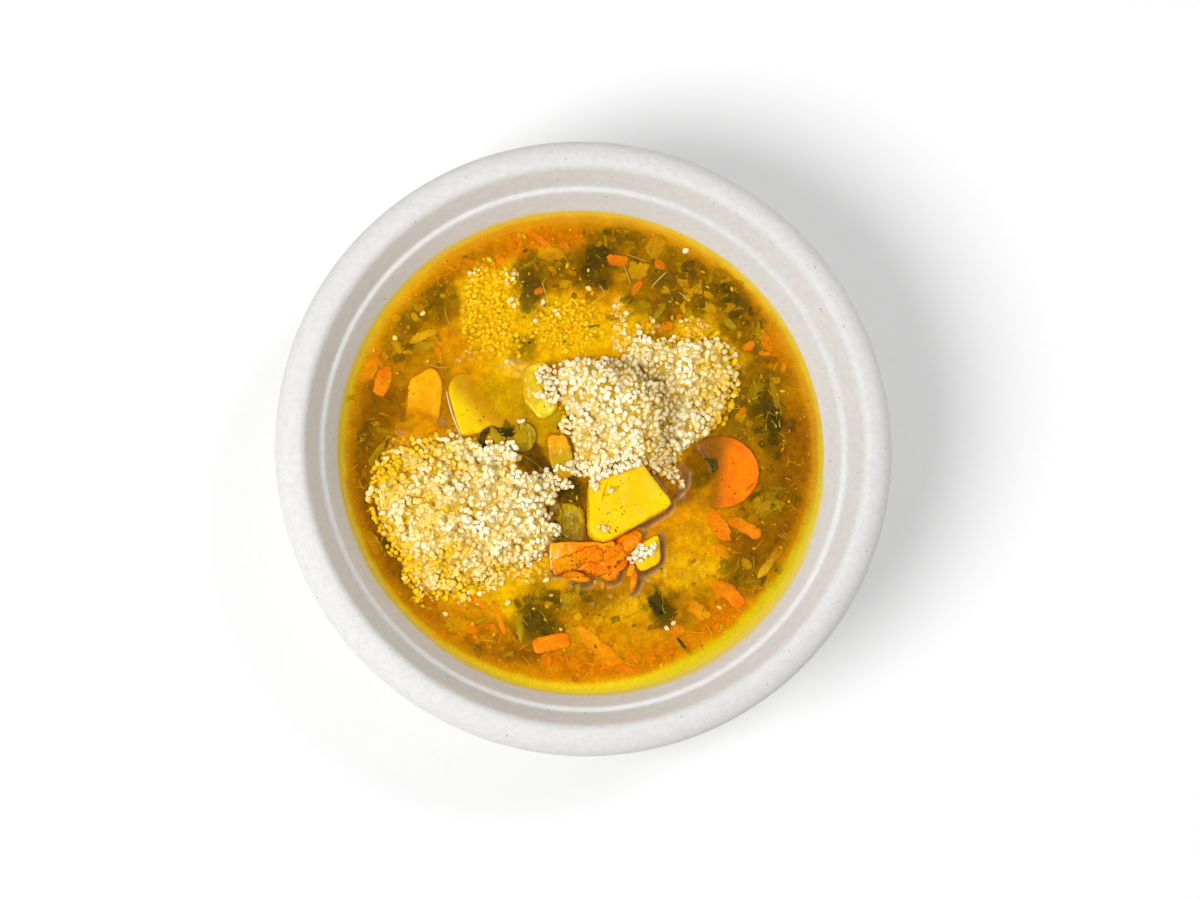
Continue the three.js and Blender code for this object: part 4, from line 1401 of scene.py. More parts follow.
# Place, length, width, turn, depth, the outline's power, raggedness, thickness, crumple and tilt
CARROTS = [
    Morsel(*row)
    for row in (
        (CARROT, -3.6, 7.2, 2.2, 1.6, 40, -0.2), (CARROT, -64.7, 21.6, 10.5, 5.4, 72, 0.05, 2.4),
        (PALE_CARROT, -68.6, 25.6, 10.0, 4.6, 48, 0.5), (CARROT, -46.9, 55.1, 4.2, 1.8, 100, 0.8),
        (CARROT, -46.7, 31.4, 4.8, 1.9, 112, 0.6), (CARROT, -26.7, 62.0, 3.4, 2.6, 20, 0.3),
        (CARROT, -13.4, 68.6, 9.6, 2.4, -38, 0.3, 3.0, 0.2), (CARROT, -11.6, 71.4, 3.6, 2.0, 80, 0.5),
        (CARROT, -22.0, 69.4, 4.6, 3.6, 10, 1.1), (CARROT, -20.0, 64.6, 5.2, 4.2, -30, 1.1),
        (CARROT, -14.3, 52.0, 3.2, 2.4, 15, 0.2), (CARROT, 11.5, 62.5, 7.0, 3.8, -6, 0.2, 4.0),
        (CARROT, 25.3, 61.6, 4.6, 3.0, -40, 0.3, 2.2), (CARROT, 17.7, 53.7, 6.0, 2.8, 58, 0.2, 2.2),
        (CARROT, 27.8, 41.2, 4.0, 3.2, 0, 0.2), (CARROT, 31.5, 44.0, 3.4, 1.8, 60, 0.5),
        (CARROT, 54.8, 34.9, 4.4, 3.2, 20, 0.1, 4.0), (PALE_CARROT, 60.0, 36.6, 5.0, 2.0, 60, 0.5, 3.0, 0.2),
        (PALE_CARROT, 59.5, 32.6, 4.6, 1.6, -5, 0.3), (CARROT, 44.3, -24.1, 12.0, 5.6, -58, 0.0, 2.2),
        (CARROT, 52.8, -24.4, 11.8, 4.2, -30, 0.0, 3.5),
        (PALE_CARROT, 45.0, -32.3, 7.0, 4.2, -25, 0.6, 3.0, 0.2),
        (CARROT, 48.0, -46.2, 11.4, 5.0, -48, 0.0, 2.4), (CARROT, 43.6, -44.6, 8.0, 3.0, -62, 0.7),
        (PALE_CARROT, 37.7, -51.6, 8.0, 4.6, -42, 0.3, 3.0, 0.2), (CARROT, 30.9, -58.1, 5.4, 3.8, -10, 0.8),
        (PALE_CARROT, 6.4, -65.0, 19.0, 5.2, -42, 0.3, 3.0, 0.16, 1.6, 0.25),
        (CARROT, 3.2, -62.4, 9.0, 4.4, -55, 0.5, 3.0, 0.2),
        (CARROT, 11.5, -70.0, 11.0, 3.0, -12, 0.5, 3.0, 0.2),
        (CARROT, -10.2, -62.5, 12.4, 5.2, 12, -0.25, 6.0, 0.05, 2.4),
        (CARROT, -9.6, -67.2, 8.0, 3.6, 8, 1.2, 4.0), (CARROT, -34.2, -49.2, 9.4, 2.3, -36, 0.2, 3.0, 0.15),
        (CARROT, -26.9, -54.3, 12.0, 1.9, -72, 0.3, 3.0, 0.15), (CARROT, -35.6, -58.2, 4.4, 3.4, -20, 0.4),
        (CARROT, 52.5, 13.6, 3.0, 2.2, 40, 0.3), (PALE_CARROT, 66.0, 28.0, 4.0, 1.8, 80, 0.7),
        (CARROT, -45.5, -60.0, 5.0, 2.6, 30, 1.2),
        # Shreds that bridge the torn pieces
        (CARROT, 5.0, -31.6, 5.0, 3.0, 30, -2.0, 3.0, 0.2, 4.0, 0.5),
        (CARROT, 3.6, -38.4, 6.0, 3.2, -20, -1.7, 3.0, 0.2, 4.0, 0.5),
        (CARROT, -3.6, -40.2, 6.4, 2.6, -10, -1.3, 3.0, 0.2, 4.0, 0.4),
        (CARROT, 12.6, -37.0, 5.2, 3.0, 50, -1.7, 3.0, 0.2, 4.0, 0.5),
        (CARROT, 10.0, -34.0, 4.6, 3.4, 20, -2.2, 3.0, 0.2, 4.5, 0.5),
        (PALE_CARROT, 15.6, -39.0, 4.4, 2.2, 70, -1.2, 3.0, 0.15, 4.0, 0.3),
        (PALE_CARROT, -8.6, -38.2, 2.6, 5.0, 10, -1.4, 3.0, 0.15, 4.0, 0.4),
        # Flaps on the large torn piece
        (PALE_CARROT, -5.6, -37.2, 9.0, 4.6, 12, -4.8, 3.0, 0.16, 4.0, 0.35, 5.0),
        (CARROT, 1.6, -34.6, 10.0, 5.0, 10, -5.0, 3.0, 0.14, 4.0, 0.35, 4.0),
        (CARROT, 9.6, -34.4, 8.0, 5.6, 30, -4.4, 3.0, 0.14, 5.0, 0.35, 6.0),
        (CARROT, 4.4, -38.6, 8.0, 3.6, -14, -3.4, 3.0, 0.14, 4.0, 0.35, 5.0),
    )
]

PALE = [
    Morsel(*row)
    for row in (
        (ONION, -6.2, -7.0, 6.4, 5.4, 25, -0.9, 3.0, 0.10, 3.0, 0.4),
        (CELERY, -3.4, -24.6, 9.0, 14.0, 8, -1.0, 2.6, 0.2, 3.0, 0.5),
        (CELERY, -19.4, 3.8, 5.6, 7.6, -15, -1.0, 2.2, 0.10, 3.0, 0.3),
        (CELERY, -27.4, 3.0, 8.4, 3.2, -58, -1.1, 2.4, 0.10, 3.0, 0.3),
        (CELERY, -8.6, 10.4, 6.0, 5.0, 30, 0.1, 3.0, 0.25),
        (ONION, -51.9, 36.8, 10.0, 3.0, 24, -0.05, 3.0, 0.2), (CELERY, -51.0, 33.4, 7.0, 3.4, 5, 0.5),
        (CELERY, -66.8, -2.4, 9.0, 2.4, 58, 0.1), (ONION, -10.1, 64.4, 9.8, 5.0, -8, 0.5, 4.0),
        (ONION, 18.1, 59.4, 6.6, 5.8, -10, 0.3, 4.0), (ONION, 24.0, 67.4, 7.4, 6.2, 60, 0.8),
        (ONION, 13.0, 57.0, 4.0, 3.0, 40, 0.5), (CELERY, 25.1, 46.0, 6.4, 2.4, 55, 0.0),
        (CELERY, 20.0, 47.6, 5.6, 4.2, 0, 0.7), (CELERY, 48.3, 42.1, 5.2, 2.6, -42, 0.1),
        (ONION, 41.0, 47.6, 6.6, 3.4, -15, 0.3, 3.0, 0.2), (ONION, 33.0, 56.5, 3.6, 5.0, 10, 0.5),
        (ONION, 36.0, 53.0, 5.0, 1.8, 5, 0.3), (CELERY, 63.6, 17.0, 16.0, 2.2, -76, 0.4),
        (CELERY, 57.0, 20.0, 8.0, 5.0, 70, 0.8, 3.0, 0.25), (CELERY, 62.9, 10.6, 6.0, 2.6, -60, 0.1),
        (ONION, 61.6, -35.0, 15.0, 3.0, 52, 0.4), (CELERY, 58.0, -18.0, 8.0, 3.0, -65, 0.5),
        (CELERY, 63.0, -16.0, 7.0, 2.6, -40, 0.4), (ONION, 15.2, -50.5, 7.0, 6.0, 20, 0.2),
        (CELERY, -4.9, -49.0, 4.8, 5.4, 5, 0.2, 4.0), (CELERY, -20.4, -56.2, 10.0, 3.0, 100, 0.2, 3.0, 0.2),
        (ONION, -67.2, -30.6, 9.0, 3.6, 118, 0.3), (ONION, 34.2, -40.6, 11.0, 4.0, -22, 0.6, 3.0, 0.25),
        (ONION, -60.5, 42.5, 3.2, 2.6, 30, 0.4), (ONION, -60.0, 33.0, 4.6, 3.0, -60, 0.4),
        (ONION, -54.6, 43.0, 3.4, 2.2, -60, 0.3), (ONION, -5.5, 54.4, 4.4, 3.6, 0, 0.8),
        (ONION, -40.0, -57.0, 6.0, 8.0, 70, 0.7, 3.0, 0.2), (ONION, 21.0, -60.0, 4.0, 2.2, 20, 0.3),
        (ONION, 5.0, -55.0, 4.0, 3.2, -20, 0.3), (ONION, -1.5, -54.0, 3.2, 2.6, 40, 0.2),
        (ONION, 16.0, -68.0, 7.0, 4.0, 30, 0.9), (ONION, -3.0, -58.5, 5.0, 2.4, 15, 0.5),
    )
]

LEAVES = [
    Morsel(*row)
    for row in (
        (LEAF, -24.6, 6.2, 5.2, 4.0, 60, -0.5, 3.0, 0.3, 1.6, 0.4), (LEAF, -7.6, 7.4, 2.0, 1.2, 10, -0.1),
        (LEAF, -18.1, 55.4, 8.0, 5.0, 100, 0.6), (LEAF, -17.6, 48.6, 7.0, 5.0, 70, 0.5),
        (LEAF, 3.4, 63.6, 8.0, 5.2, 85, 0.5), (LEAF, 3.0, 57.2, 8.4, 6.0, 110, 0.4),
        (LEAF, 8.6, 72.1, 4.0, 2.6, 0, 0.3), (OLIVE_LEAF, 14.5, 71.0, 9.6, 4.0, -8, 0.7),
        (OLIVE_LEAF, 10.5, 66.5, 6.0, 5.0, 30, 0.9), (LEAF, 34.7, 61.1, 4.6, 3.2, 20, 0.2),
        (LEAF, 36.0, 59.0, 3.4, 2.4, -50, 0.3), (LEAF, 49.2, 54.4, 7.6, 4.2, 10, 0.5),
        (OLIVE_LEAF, 53.0, 50.0, 6.0, 4.0, -60, 0.8), (LEAF, 49.4, 45.0, 4.4, 2.6, 20, 0.3),
        (LEAF, 52.5, 46.4, 3.4, 1.6, 40, 0.3), (LEAF, 14.5, 49.5, 4.6, 2.6, 10, 0.5),
        (LEAF, 3.4, 40.7, 6.0, 0.9, 8, 0.1), (OLIVE_LEAF, -20.6, 34.1, 6.4, 4.6, 95, 0.7),
        (OLIVE_LEAF, -48.4, 49.2, 6.4, 5.0, 100, 0.9), (OLIVE_LEAF, -56.6, 40.4, 7.0, 6.0, 30, 1.1),
        (LEAF, -56.2, 33.4, 2.6, 2.0, 10, 0.5), (LEAF, -47.5, 37.0, 5.0, 1.0, -48, 0.3),
        (LEAF, -75.0, 16.2, 2.6, 1.6, 20, 0.0), (LEAF, -11.3, -47.2, 8.0, 4.4, -8, 0.6),
        (LEAF, -15.4, -55.6, 7.6, 5.4, 40, 0.3), (LEAF, -11.6, -58.4, 5.0, 3.6, -20, 0.4),
        (LEAF, -33.6, -65.2, 4.2, 2.8, -60, 0.2), (OLIVE_LEAF, -2.4, -74.0, 2.4, 2.2, 0, 0.3),
        (LEAF, 24.4, -49.6, 7.0, 5.4, -50, 0.15), (LEAF, 27.4, -53.4, 6.4, 5.0, 70, 0.15),
        (LEAF, 10.5, -54.8, 3.4, 2.2, 10, 0.4), (LEAF, 33.0, -63.6, 8.0, 1.1, -50, 0.0),
        (OLIVE_LEAF, 45.9, -37.8, 5.4, 3.4, 80, 0.4), (OLIVE_LEAF, 53.5, -36.0, 7.0, 6.0, 30, 1.1),
        (LEAF, 58.8, -42.0, 7.0, 1.8, 78, 0.2), (LEAF, -63.2, -30.0, 5.6, 3.0, -62, 0.3),
        (LEAF, -57.0, -41.2, 4.0, 2.6, -40, 0.2), (LEAF, 61.2, 11.5, 13.0, 4.4, -72, 0.05),
        (LEAF, 57.0, 14.0, 6.0, 4.0, 40, 0.6), (OLIVE_LEAF, 50.5, 17.0, 9.0, 6.0, 75, 0.9),
        (OLIVE_LEAF, 40.0, 53.0, 9.0, 6.0, 0, 1.0), (OLIVE_LEAF, 30.0, 50.0, 8.0, 5.0, -20, 1.0),
        (OLIVE_LEAF, -6.6, -29.2, 7.0, 1.4, -18, -2.6, 3.0, 0.10, 1.0, 0.3),
        (LEAF, -4.5, -15.0, 7.0, 5.0, 20, 0.4), (LEAF, -17.0, -4.5, 7.0, 4.6, -30, 0.8),
        (OLIVE_LEAF, -28.0, 10.0, 8.0, 5.0, 20, 1.0), (OLIVE_LEAF, 38.0, -9.6, 9.0, 6.0, 60, 0.6),
        (OLIVE_LEAF, 29.8, -8.2, 7.0, 4.4, -50, 0.1, 3.0, 0.2), (OLIVE_LEAF, -70.5, 3.0, 4.0, 7.0, 0, 0.8),
    )
]


def strewn(tones: Sequence["Tone"], count: int, draw: Random) -> list[Spot]:
    """Places drawn from the clouds of some tones.

    Args:
        tones: the tones.
        count: how many places.
        draw: the source of chance.

    Returns:
        The places, more of them in larger clouds.
    """
    clouds = [cloud for cloud in CLOUDS if cloud.tone in tones]
    areas = np.array([cloud.long * cloud.wide for cloud in clouds])
    spots = []
    while len(spots) < count:
        cloud = clouds[draw.choice(len(clouds), p=areas / areas.sum())]
        x, y = draw.normal((cloud.x, cloud.y), np.array((cloud.long, cloud.wide)) * 0.55)
        if math.hypot(x, y) < 74:
            spots.append((x, y))
    return spots


@dataclass(frozen=True)
class Drift:
    """Flakes of one kind that are strewn through the clouds of some tones."""

    kind: Kind
    tones: tuple["Tone", ...]
    count: int
    length: Spot
    narrow: Spot  # width over length
    deep: Spot

    def morsels(self, seed: int) -> list[Morsel]:
        """The flakes, at places drawn from the clouds.

        Args:
            seed: the draw.

        Returns:
            A morsel for each.
        """
        draw = np.random.default_rng(seed)
        flakes = []
        for x, y in strewn(self.tones, self.count, draw):
            length = draw.uniform(*self.length)
            width, turn = length * draw.uniform(*self.narrow), draw.uniform(0, 180)
            deep, square = draw.uniform(*self.deep), draw.uniform(2.0, 4.5)
            flakes.append(Morsel(self.kind, x, y, length, width, turn, deep, square, 0.22, 0.8, 0.15, 6.0))
        return flakes


@dataclass
class SmallPieces:
    """The pieces that are smaller than a CAD node: placed ones, and crumbs, threads and pepper."""

    crumbs: int = 2700
    pepper: int = 400
    reach: float = 76.0
    seed: int = 200

    # Linear tints of the crumbs and their shares
    CRUMBS = (
        ("f8c410", 0.28),
        ("f0a400", 0.24),
        ("fc9008", 0.12),
        ("d8b020", 0.12),
        ("8a6c04", 0.12),
        ("564804", 0.05),
        ("fcdc70", 0.07),
    )
    # Where pepper lies thickest: place, spread and number
    PEPPERED = ((8.0, -19.0, 5.0, 34), (-1.0, -35.0, 4.0, 34), (8.0, -34.0, 5.0, 12))
    # Tint, half width, and the start, middle and end of each thread
    THREADS = (
        ("d8b440", 0.22, 13.5, 61.0, 14.6, 57.6, 15.8, 54.1),
        ("d8c060", 0.24, 22.3, 53.6, 25.0, 56.6, 27.9, 59.3),
        ("c8a838", 0.30, 5.2, 54.6, 6.6, 52.6, 7.6, 50.2),
        ("c8a838", 0.18, 14.0, 64.6, 18.0, 63.4, 21.0, 62.0),
        ("d8c060", 0.16, -13.4, 55.4, -12.6, 52.4, -12.0, 50.6),
        ("e0a030", 0.18, -45.0, 47.0, -44.4, 43.0, -43.0, 40.0),
        ("d0a030", 0.14, -44.0, 27.0, -41.6, 23.6, -40.4, 20.8),
        ("c8b040", 0.16, -51.0, 28.0, -47.0, 26.4, -42.6, 26.8),
        ("8a8410", 0.30, -14.6, -51.6, -12.4, -53.8, -11.2, -57.0),
        ("e8b020", 0.16, 39.6, -55.8, 41.4, -58.4, 42.0, -60.6),
        ("c89020", 0.16, 60.0, -46.0, 57.6, -44.0, 54.0, -43.6),
        ("e8d070", 0.14, 31.0, 52.6, 33.4, 51.0, 34.4, 49.6),
        ("c8a030", 0.14, -60.0, 45.6, -57.0, 47.4, -53.4, 46.0),
        # Near-white threads: painted highlights of the wet film at the edges of pieces, drawn as thin films
        ("f8e4c4", 0.26, -44.3, 19.7, -42.6, 12.0, -38.6, 2.0),
        ("f4dcc0", 0.28, -40.3, -20.5, -39.4, -26.0, -35.4, -31.2),
        ("f0d4bc", 0.28, -55.3, -32.3, -53.6, -35.4, -50.8, -37.1),
        ("f4e0b8", 0.22, -44.6, -15.0, -42.4, -16.4, -41.4, -19.0),
        ("f8e0c0", 0.26, -10.2, -31.9, -10.4, -36.5, -8.3, -40.6),
        # Brown threads: painted shade in two cracks of the large potato
        ("b88a08", 0.20, 8.0, -10.6, 6.6, -13.6, 5.6, -18.6),
        ("c09410", 0.16, 9.2, -11.0, 8.0, -13.8, 7.6, -16.0),
    )

    def placed(
        self, name: str, morsels: Sequence[Morsel], kinds: Sequence[Kind], finish: Finish, slot: str
    ) -> Surface:
        """Makes one piece from a list of morsels and the drifts of the same kinds.

        Args:
            name: the piece's name.
            morsels: the list.
            kinds: the drifts' kinds.
            finish: the surface finish.
            slot: the record's material slot.

        Returns:
            The surface.
        """
        drifts = [(i, drift) for i, drift in enumerate(DRIFTS) if drift.kind in kinds]
        flakes = [flake for i, drift in drifts for flake in drift.morsels(self.seed + i)]
        shards = [morsel.surface(self.seed + 13 * i) for i, morsel in enumerate([*morsels, *flakes])]
        surface = Surface.joined(shards)
        surface.made(name, finish, slot)
        return surface

    def scattered(self, count: int, draw: Random) -> Array:
        """Places all over the broth.

        Args:
            count: how many.
            draw: the source of chance.

        Returns:
            A row for each.
        """
        reach = self.reach * np.sqrt(draw.random(count))
        angle = draw.uniform(0, FULL_TURN, count)
        return np.c_[reach * np.cos(angle), reach * np.sin(angle)]

    @staticmethod
    def specks(spots: Array, sizes: Array, tints: Array, seed: int) -> Surface:
        """Angular specks of twenty faces.

        Args:
            spots: their middles.
            sizes: length, width and height of each.
            tints: a linear colour for each.
            seed: the draw of their turns and bumps.

        Returns:
            All of them in one surface.
        """
        draw = np.random.default_rng(seed)
        body, faces = ball(False)
        shapes = body[None] * draw.uniform(0.7, 1.2, (len(spots), len(body), 1)) * sizes[:, None, :]
        turn = draw.uniform(0, FULL_TURN, len(spots))[:, None]
        x = shapes[..., 0] * np.cos(turn) - shapes[..., 1] * np.sin(turn)
        y = shapes[..., 0] * np.sin(turn) + shapes[..., 1] * np.cos(turn)
        points = np.stack([x, y, shapes[..., 2]], axis=-1) + spots[:, None, :]
        return Surface.repeated(points, faces, tints[:, None])

    def crumb_field(self) -> Surface:
        """Crumbs of vegetable and herb all through the top of the broth."""
        draw = np.random.default_rng(self.seed + 1)
        spots = self.scattered(self.crumbs, draw)
        size = draw.uniform(0.2, 1.0, self.crumbs) ** 3 * 1.1 + 0.22
        spots = np.c_[spots, LEVEL - draw.uniform(0.0, 0.9, self.crumbs)]
        sizes = np.c_[size * draw.uniform(1.0, 2.2, self.crumbs), size, 0.6 * size]
        tints, shares = zip(*self.CRUMBS)
        chosen = draw.choice(len(tints), self.crumbs, p=shares)
        return self.specks(spots, sizes, np.array([linear(tint) for tint in tints])[chosen], self.seed + 2)

    def pepper_field(self, ground: Ground) -> Surface:
        """Pepper on whatever lies on top, thickest on the large potato and the torn carrot.

        Args:
            ground: all that shows over the broth.

        Returns:
            The surface.
        """
        draw = np.random.default_rng(self.seed + 3)
        spots = self.scattered(self.pepper, draw)
        for x, y, spread, count in self.PEPPERED:
            spots = np.r_[spots, np.c_[draw.normal(x, spread, count), draw.normal(y, spread * 0.8, count)]]
        tops = [max(LEVEL, ground.top(x, y) or LEVEL) + 0.05 for x, y in spots]
        size = draw.uniform(0.2, 0.5, len(spots))
        sizes = np.c_[size * draw.uniform(1.0, 1.6, len(spots)), size, 0.7 * size]
        tints = np.array([linear("1e1208"), linear("4a2408")])[draw.integers(0, 2, len(spots))]
        return self.specks(np.c_[spots, tops], sizes, tints, self.seed + 4)

    def threads(self, ground: Ground) -> Surface:
        """Thin strips, stalks and films that lie on whatever is on top, some of them painted highlights and
        painted shade.

        Args:
            ground: all that shows over the broth.

        Returns:
            All of them in one surface.
        """
        lines = [(tint, radius, np.array(path).reshape(3, 2)) for tint, radius, *path in self.THREADS]
        lines += self.fibres()
        return Surface.joined([self.thread(linear(tint), half, path, ground) for tint, half, path in lines])

    def fibres(self) -> list[tuple[str, float, Array]]:
        """A tint, half width and bent path for each short fibre that drifts at the surface."""
        draw = np.random.default_rng(self.seed + 6)
        lines = []
        for tones, tint, count in (
            ((Tone.ORANGE, Tone.RUST, Tone.HONEY), "ec8800", 90),
            ((Tone.RUST, Tone.BROWN, Tone.ORANGE), "f0ac10", 110),
            ((Tone.OLIVE, Tone.MOSS), "d4a408", 60),
            ((Tone.OLIVE, Tone.MOSS, Tone.BROWN), "6c5400", 40),
        ):
            for middle in strewn(tones, count, draw):
                turn, length = draw.uniform(0, math.pi), draw.uniform(1.2, 4.6)
                along = 0.5 * length * np.array([math.cos(turn), math.sin(turn)])
                bend = draw.normal(0, 0.12 * length, 2)
                path = np.array([middle - along, middle + bend, middle + along])
                lines.append((tint, draw.uniform(0.07, 0.14), path))
        return lines

    @staticmethod
    def thread(tint: Colour, radius: float, path: Array, ground: Ground) -> Surface:
        """A round thread through three places, thinner towards its ends.

        Args:
            tint: its linear colour.
            radius: half its width.
            path: its start, middle and end.
            ground: what it lies on, where that stands over the broth.

        Returns:
            The closed surface.
        """
        start, middle, end = path
        bend = Bowl.curve(start, 2 * middle - 0.5 * (start + end), end, 8)
        ahead = np.gradient(bend, axis=0)
        side = np.c_[-ahead[:, 1], ahead[:, 0]] / np.linalg.norm(ahead, axis=1)[:, None]
        angles = np.arange(5) / 5 * FULL_TURN
        rings = []
        for row, (spot, out) in enumerate(zip(bend, side)):
            height = max(LEVEL, (ground.top(*spot) or LEVEL) - 0.3 * radius)
            if row in (0, len(bend) - 1):
                rings.append(np.array([(*spot, height)]))
                continue
            thick = radius * (0.5 + 0.5 * math.sin(math.pi * row / (len(bend) - 1)))
            rings.append(np.c_[spot + thick * np.cos(angles)[:, None] * out, height + thick * np.sin(angles)])
        return Surface.through(rings).painted("tint", tint)


# The broth


class Tone(Enum):
    """The broth's colours."""

    AMBER = "b87a00"
    GOLD = "f6bc00"
    HONEY = "da9000"
    ORANGE = "d27600"
    RUST = "a86200"
    BROWN = "824e00"
    OLIVE = "885e00"
    MOSS = "5c4600"
    # painted shade: the dark broth in the gap beside the left heap
    SHADE = "503408"
    STRAW = "c89800"
    FRINGE = "dc9200"
    LEMON = "e8cc18"
    # Painted shade and a painted highlight on the broth beside pieces, where its skin bends up to them
    PLUM = "74502e"
    BRUISE = "a4743c"
    SKIN = "c89a5c"

    @property
    def linear(self) -> Array:
        """The colour, linear."""
        return np.array(linear(self.value))


@dataclass(frozen=True)
class Cloud(Oval):
    """A soft oval of one tone in the broth."""

    weight: float
    tone: Tone


# Place, half widths, turn, weight and tone
CLOUDS = [
    Cloud(*row, Tone[tone])
    for *row, tone in (
        (-14, 69, 18, 5, 5, 0.8, "ORANGE"), (-38, 61, 14, 5, 35, 0.7, "RUST"),
        (-44, 58, 8, 4, 40, 0.5, "ORANGE"), (-66, 12, 8, 12, 0, 0.9, "BROWN"),
        (-66, 28, 6, 6, 0, 0.6, "ORANGE"), (-71, -8, 5, 18, 0, 2.4, "BROWN"),
        (-63, -36, 7, 11, 30, 3.0, "BROWN"), (-52, -50, 8, 5, -45, 0.9, "RUST"),
        (-34, -62, 14, 6, -30, 0.8, "RUST"), (-40, -54, 10, 5, -20, 0.6, "HONEY"),
        (-20, -66, 9, 4, -10, 0.9, "BROWN"), (-2, -70, 14, 5, 0, 0.9, "ORANGE"),
        (22, -69, 16, 5, 15, 0.9, "ORANGE"), (42, -57, 14, 5, 40, 0.7, "ORANGE"),
        (33, -28, 12, 9, 0, 1.0, "HONEY"), (35, -35, 10, 10, 0, 0.8, "GOLD"),
        (14, -60, 16, 6, 0, 0.8, "HONEY"), (15, -50, 7, 5, 0, 0.5, "GOLD"), (2, -47, 9, 4, 0, 0.5, "OLIVE"),
        (35.5, -13.5, 3.5, 4.5, 0, 1.6, "BROWN"), (38.5, -0.5, 5, 5, 0, 1.6, "BROWN"),
        (70, 2, 7, 14, 0, 1.1, "BROWN"), (67, -20, 6, 14, 0, 1.1, "BROWN"),
        (62, 26, 6, 9, 20, 0.12, "BROWN"), (62, 36, 5, 6, 0, 0.8, "ORANGE"),
        (60, -15, 9, 9, 0, 1.0, "OLIVE"), (57, -31, 9, 7, 0, 1.1, "BROWN"), (54, -40, 8, 6, 0, 1.0, "OLIVE"),
        (64, -34, 6, 8, 30, 0.7, "OLIVE"), (-38, 33, 10, 8, 0, 1.0, "HONEY"),
        (-30, 47, 11, 16, 0, 1.3, "GOLD"), (-25, 28, 9, 8, 0, 1.0, "GOLD"), (-5, 40, 16, 10, 0, 1.3, "GOLD"),
        (13, 42, 7, 9, 0, 1.0, "GOLD"), (5, 49, 8, 5, 0, 0.8, "HONEY"), (37, 40, 7, 6, 0, 1.0, "GOLD"),
        (44, 30, 8, 5, 0, 0.8, "GOLD"), (-30, -42, 22, 6, 0, 1.0, "GOLD"), (-22, -50, 8, 5, 0, 0.7, "GOLD"),
        (-59, -9, 6, 11, -15, 1.8, "GOLD"), (-52, 4, 12, 5, 0, 0.8, "HONEY"),
        (-25, 16, 9, 9, 0, 1.2, "STRAW"), (-13, 9, 9, 7, 0, 1.2, "STRAW"), (-36, 25, 6, 4, 0, 0.8, "HONEY"),
        (12, 71, 12, 4, 0, 1.0, "OLIVE"), (4, 60, 6, 9, 0, 1.0, "MOSS"), (-10, 60, 9, 6, 0, 0.8, "OLIVE"),
        (-17, 52, 4.5, 9, 0, 1.0, "MOSS"), (20, 62, 8, 6, 0, 0.25, "OLIVE"),
        (34, 58, 14, 7, -20, 0.9, "OLIVE"), (36, 50, 18, 8, -10, 1.1, "OLIVE"),
        (50, 51, 5, 7, 20, 0.9, "MOSS"), (54, 40, 8, 7, 0, 1.0, "OLIVE"), (19, 47, 8, 4, 0, 0.7, "OLIVE"),
        (-48, 49, 7, 6, 0, 1.1, "OLIVE"), (-57, 38, 8, 10, 0, 0.35, "OLIVE"),
        (-20, 34, 4, 5, 0, 1.0, "OLIVE"), (-62, 2, 8, 6, 0, 0.8, "OLIVE"), (53, 16, 9, 12, 0, 1.1, "OLIVE"),
        (62, 12, 5, 11, 15, 1.6, "MOSS"), (40, -6, 6, 4, 20, 1.0, "MOSS"), (26, -51, 4, 6, 20, 1.0, "MOSS"),
        (-15, -55, 7, 6, 0, 1.0, "MOSS"), (-12, -48, 8, 4, 0, 1.0, "OLIVE"), (-71, 3, 5, 8, 0, 0.9, "OLIVE"),
        # The two darkest clouds, beside the left heap, are painted shade in the gap there
        (-63, -30, 4, 4, 0, 0.8, "MOSS"), (-16.5, -2.6, 5, 3, -50, 1.6, "SHADE"),
        (-11.5, -7.5, 4, 3, -50, 1.3, "SHADE"), (-5, -14, 5, 5, 0, 1.3, "MOSS"),
        (-8, -24, 6, 8, 0, 0.8, "OLIVE"), (-35, -66, 4, 3, 0, 0.8, "OLIVE"),
    )
]

# Kind and tones, number, then the least and most length, narrowness and depth
DRIFTS = [
    Drift(LEAF, (Tone.MOSS,), 80, (1.5, 4.5), (0.4, 0.9), (0.1, 0.9)),
    Drift(OLIVE_LEAF, (Tone.OLIVE, Tone.MOSS), 150, (1.5, 5.5), (0.3, 0.9), (0.2, 1.2)),
    Drift(CARROT, (Tone.ORANGE, Tone.RUST), 60, (1.2, 3.6), (0.25, 0.6), (0.1, 0.9)),
    Drift(PALE_CARROT, (Tone.ORANGE, Tone.HONEY, Tone.GOLD), 50, (1.2, 3.6), (0.25, 0.7), (0.2, 1.0)),
    Drift(ONION, (Tone.OLIVE, Tone.HONEY, Tone.RUST), 110, (1.2, 4.5), (0.35, 0.9), (0.3, 1.2)),
    Drift(CELERY, (Tone.OLIVE, Tone.RUST), 60, (2.0, 6.5), (0.15, 0.35), (0.1, 1.0)),
]


@dataclass(frozen=True)
class Swell(Oval):
    """An oval where the broth washes over the low side of a piece."""

    rise: float

    def height(self, spots: Array) -> Array:
        """How far the broth stands above its level."""
        return self.rise * ease(self.outness(spots), 1.5, 0.55)

    def cover(self, spots: Array) -> Array:
        """How far it hides what it washes over."""
        return 0.97 * ease(self.height(spots) / self.rise, 0.5, 1.0)


SWELLS = [
    Swell(-26.5, 20.0, 15.0, 9.0, -44, 1.2),
    Swell(37.0, -7.5, 6.5, 12.0, 10, 1.6),
    Swell(-53.0, 7.5, 7.0, 4.5, 0, 1.1),
]


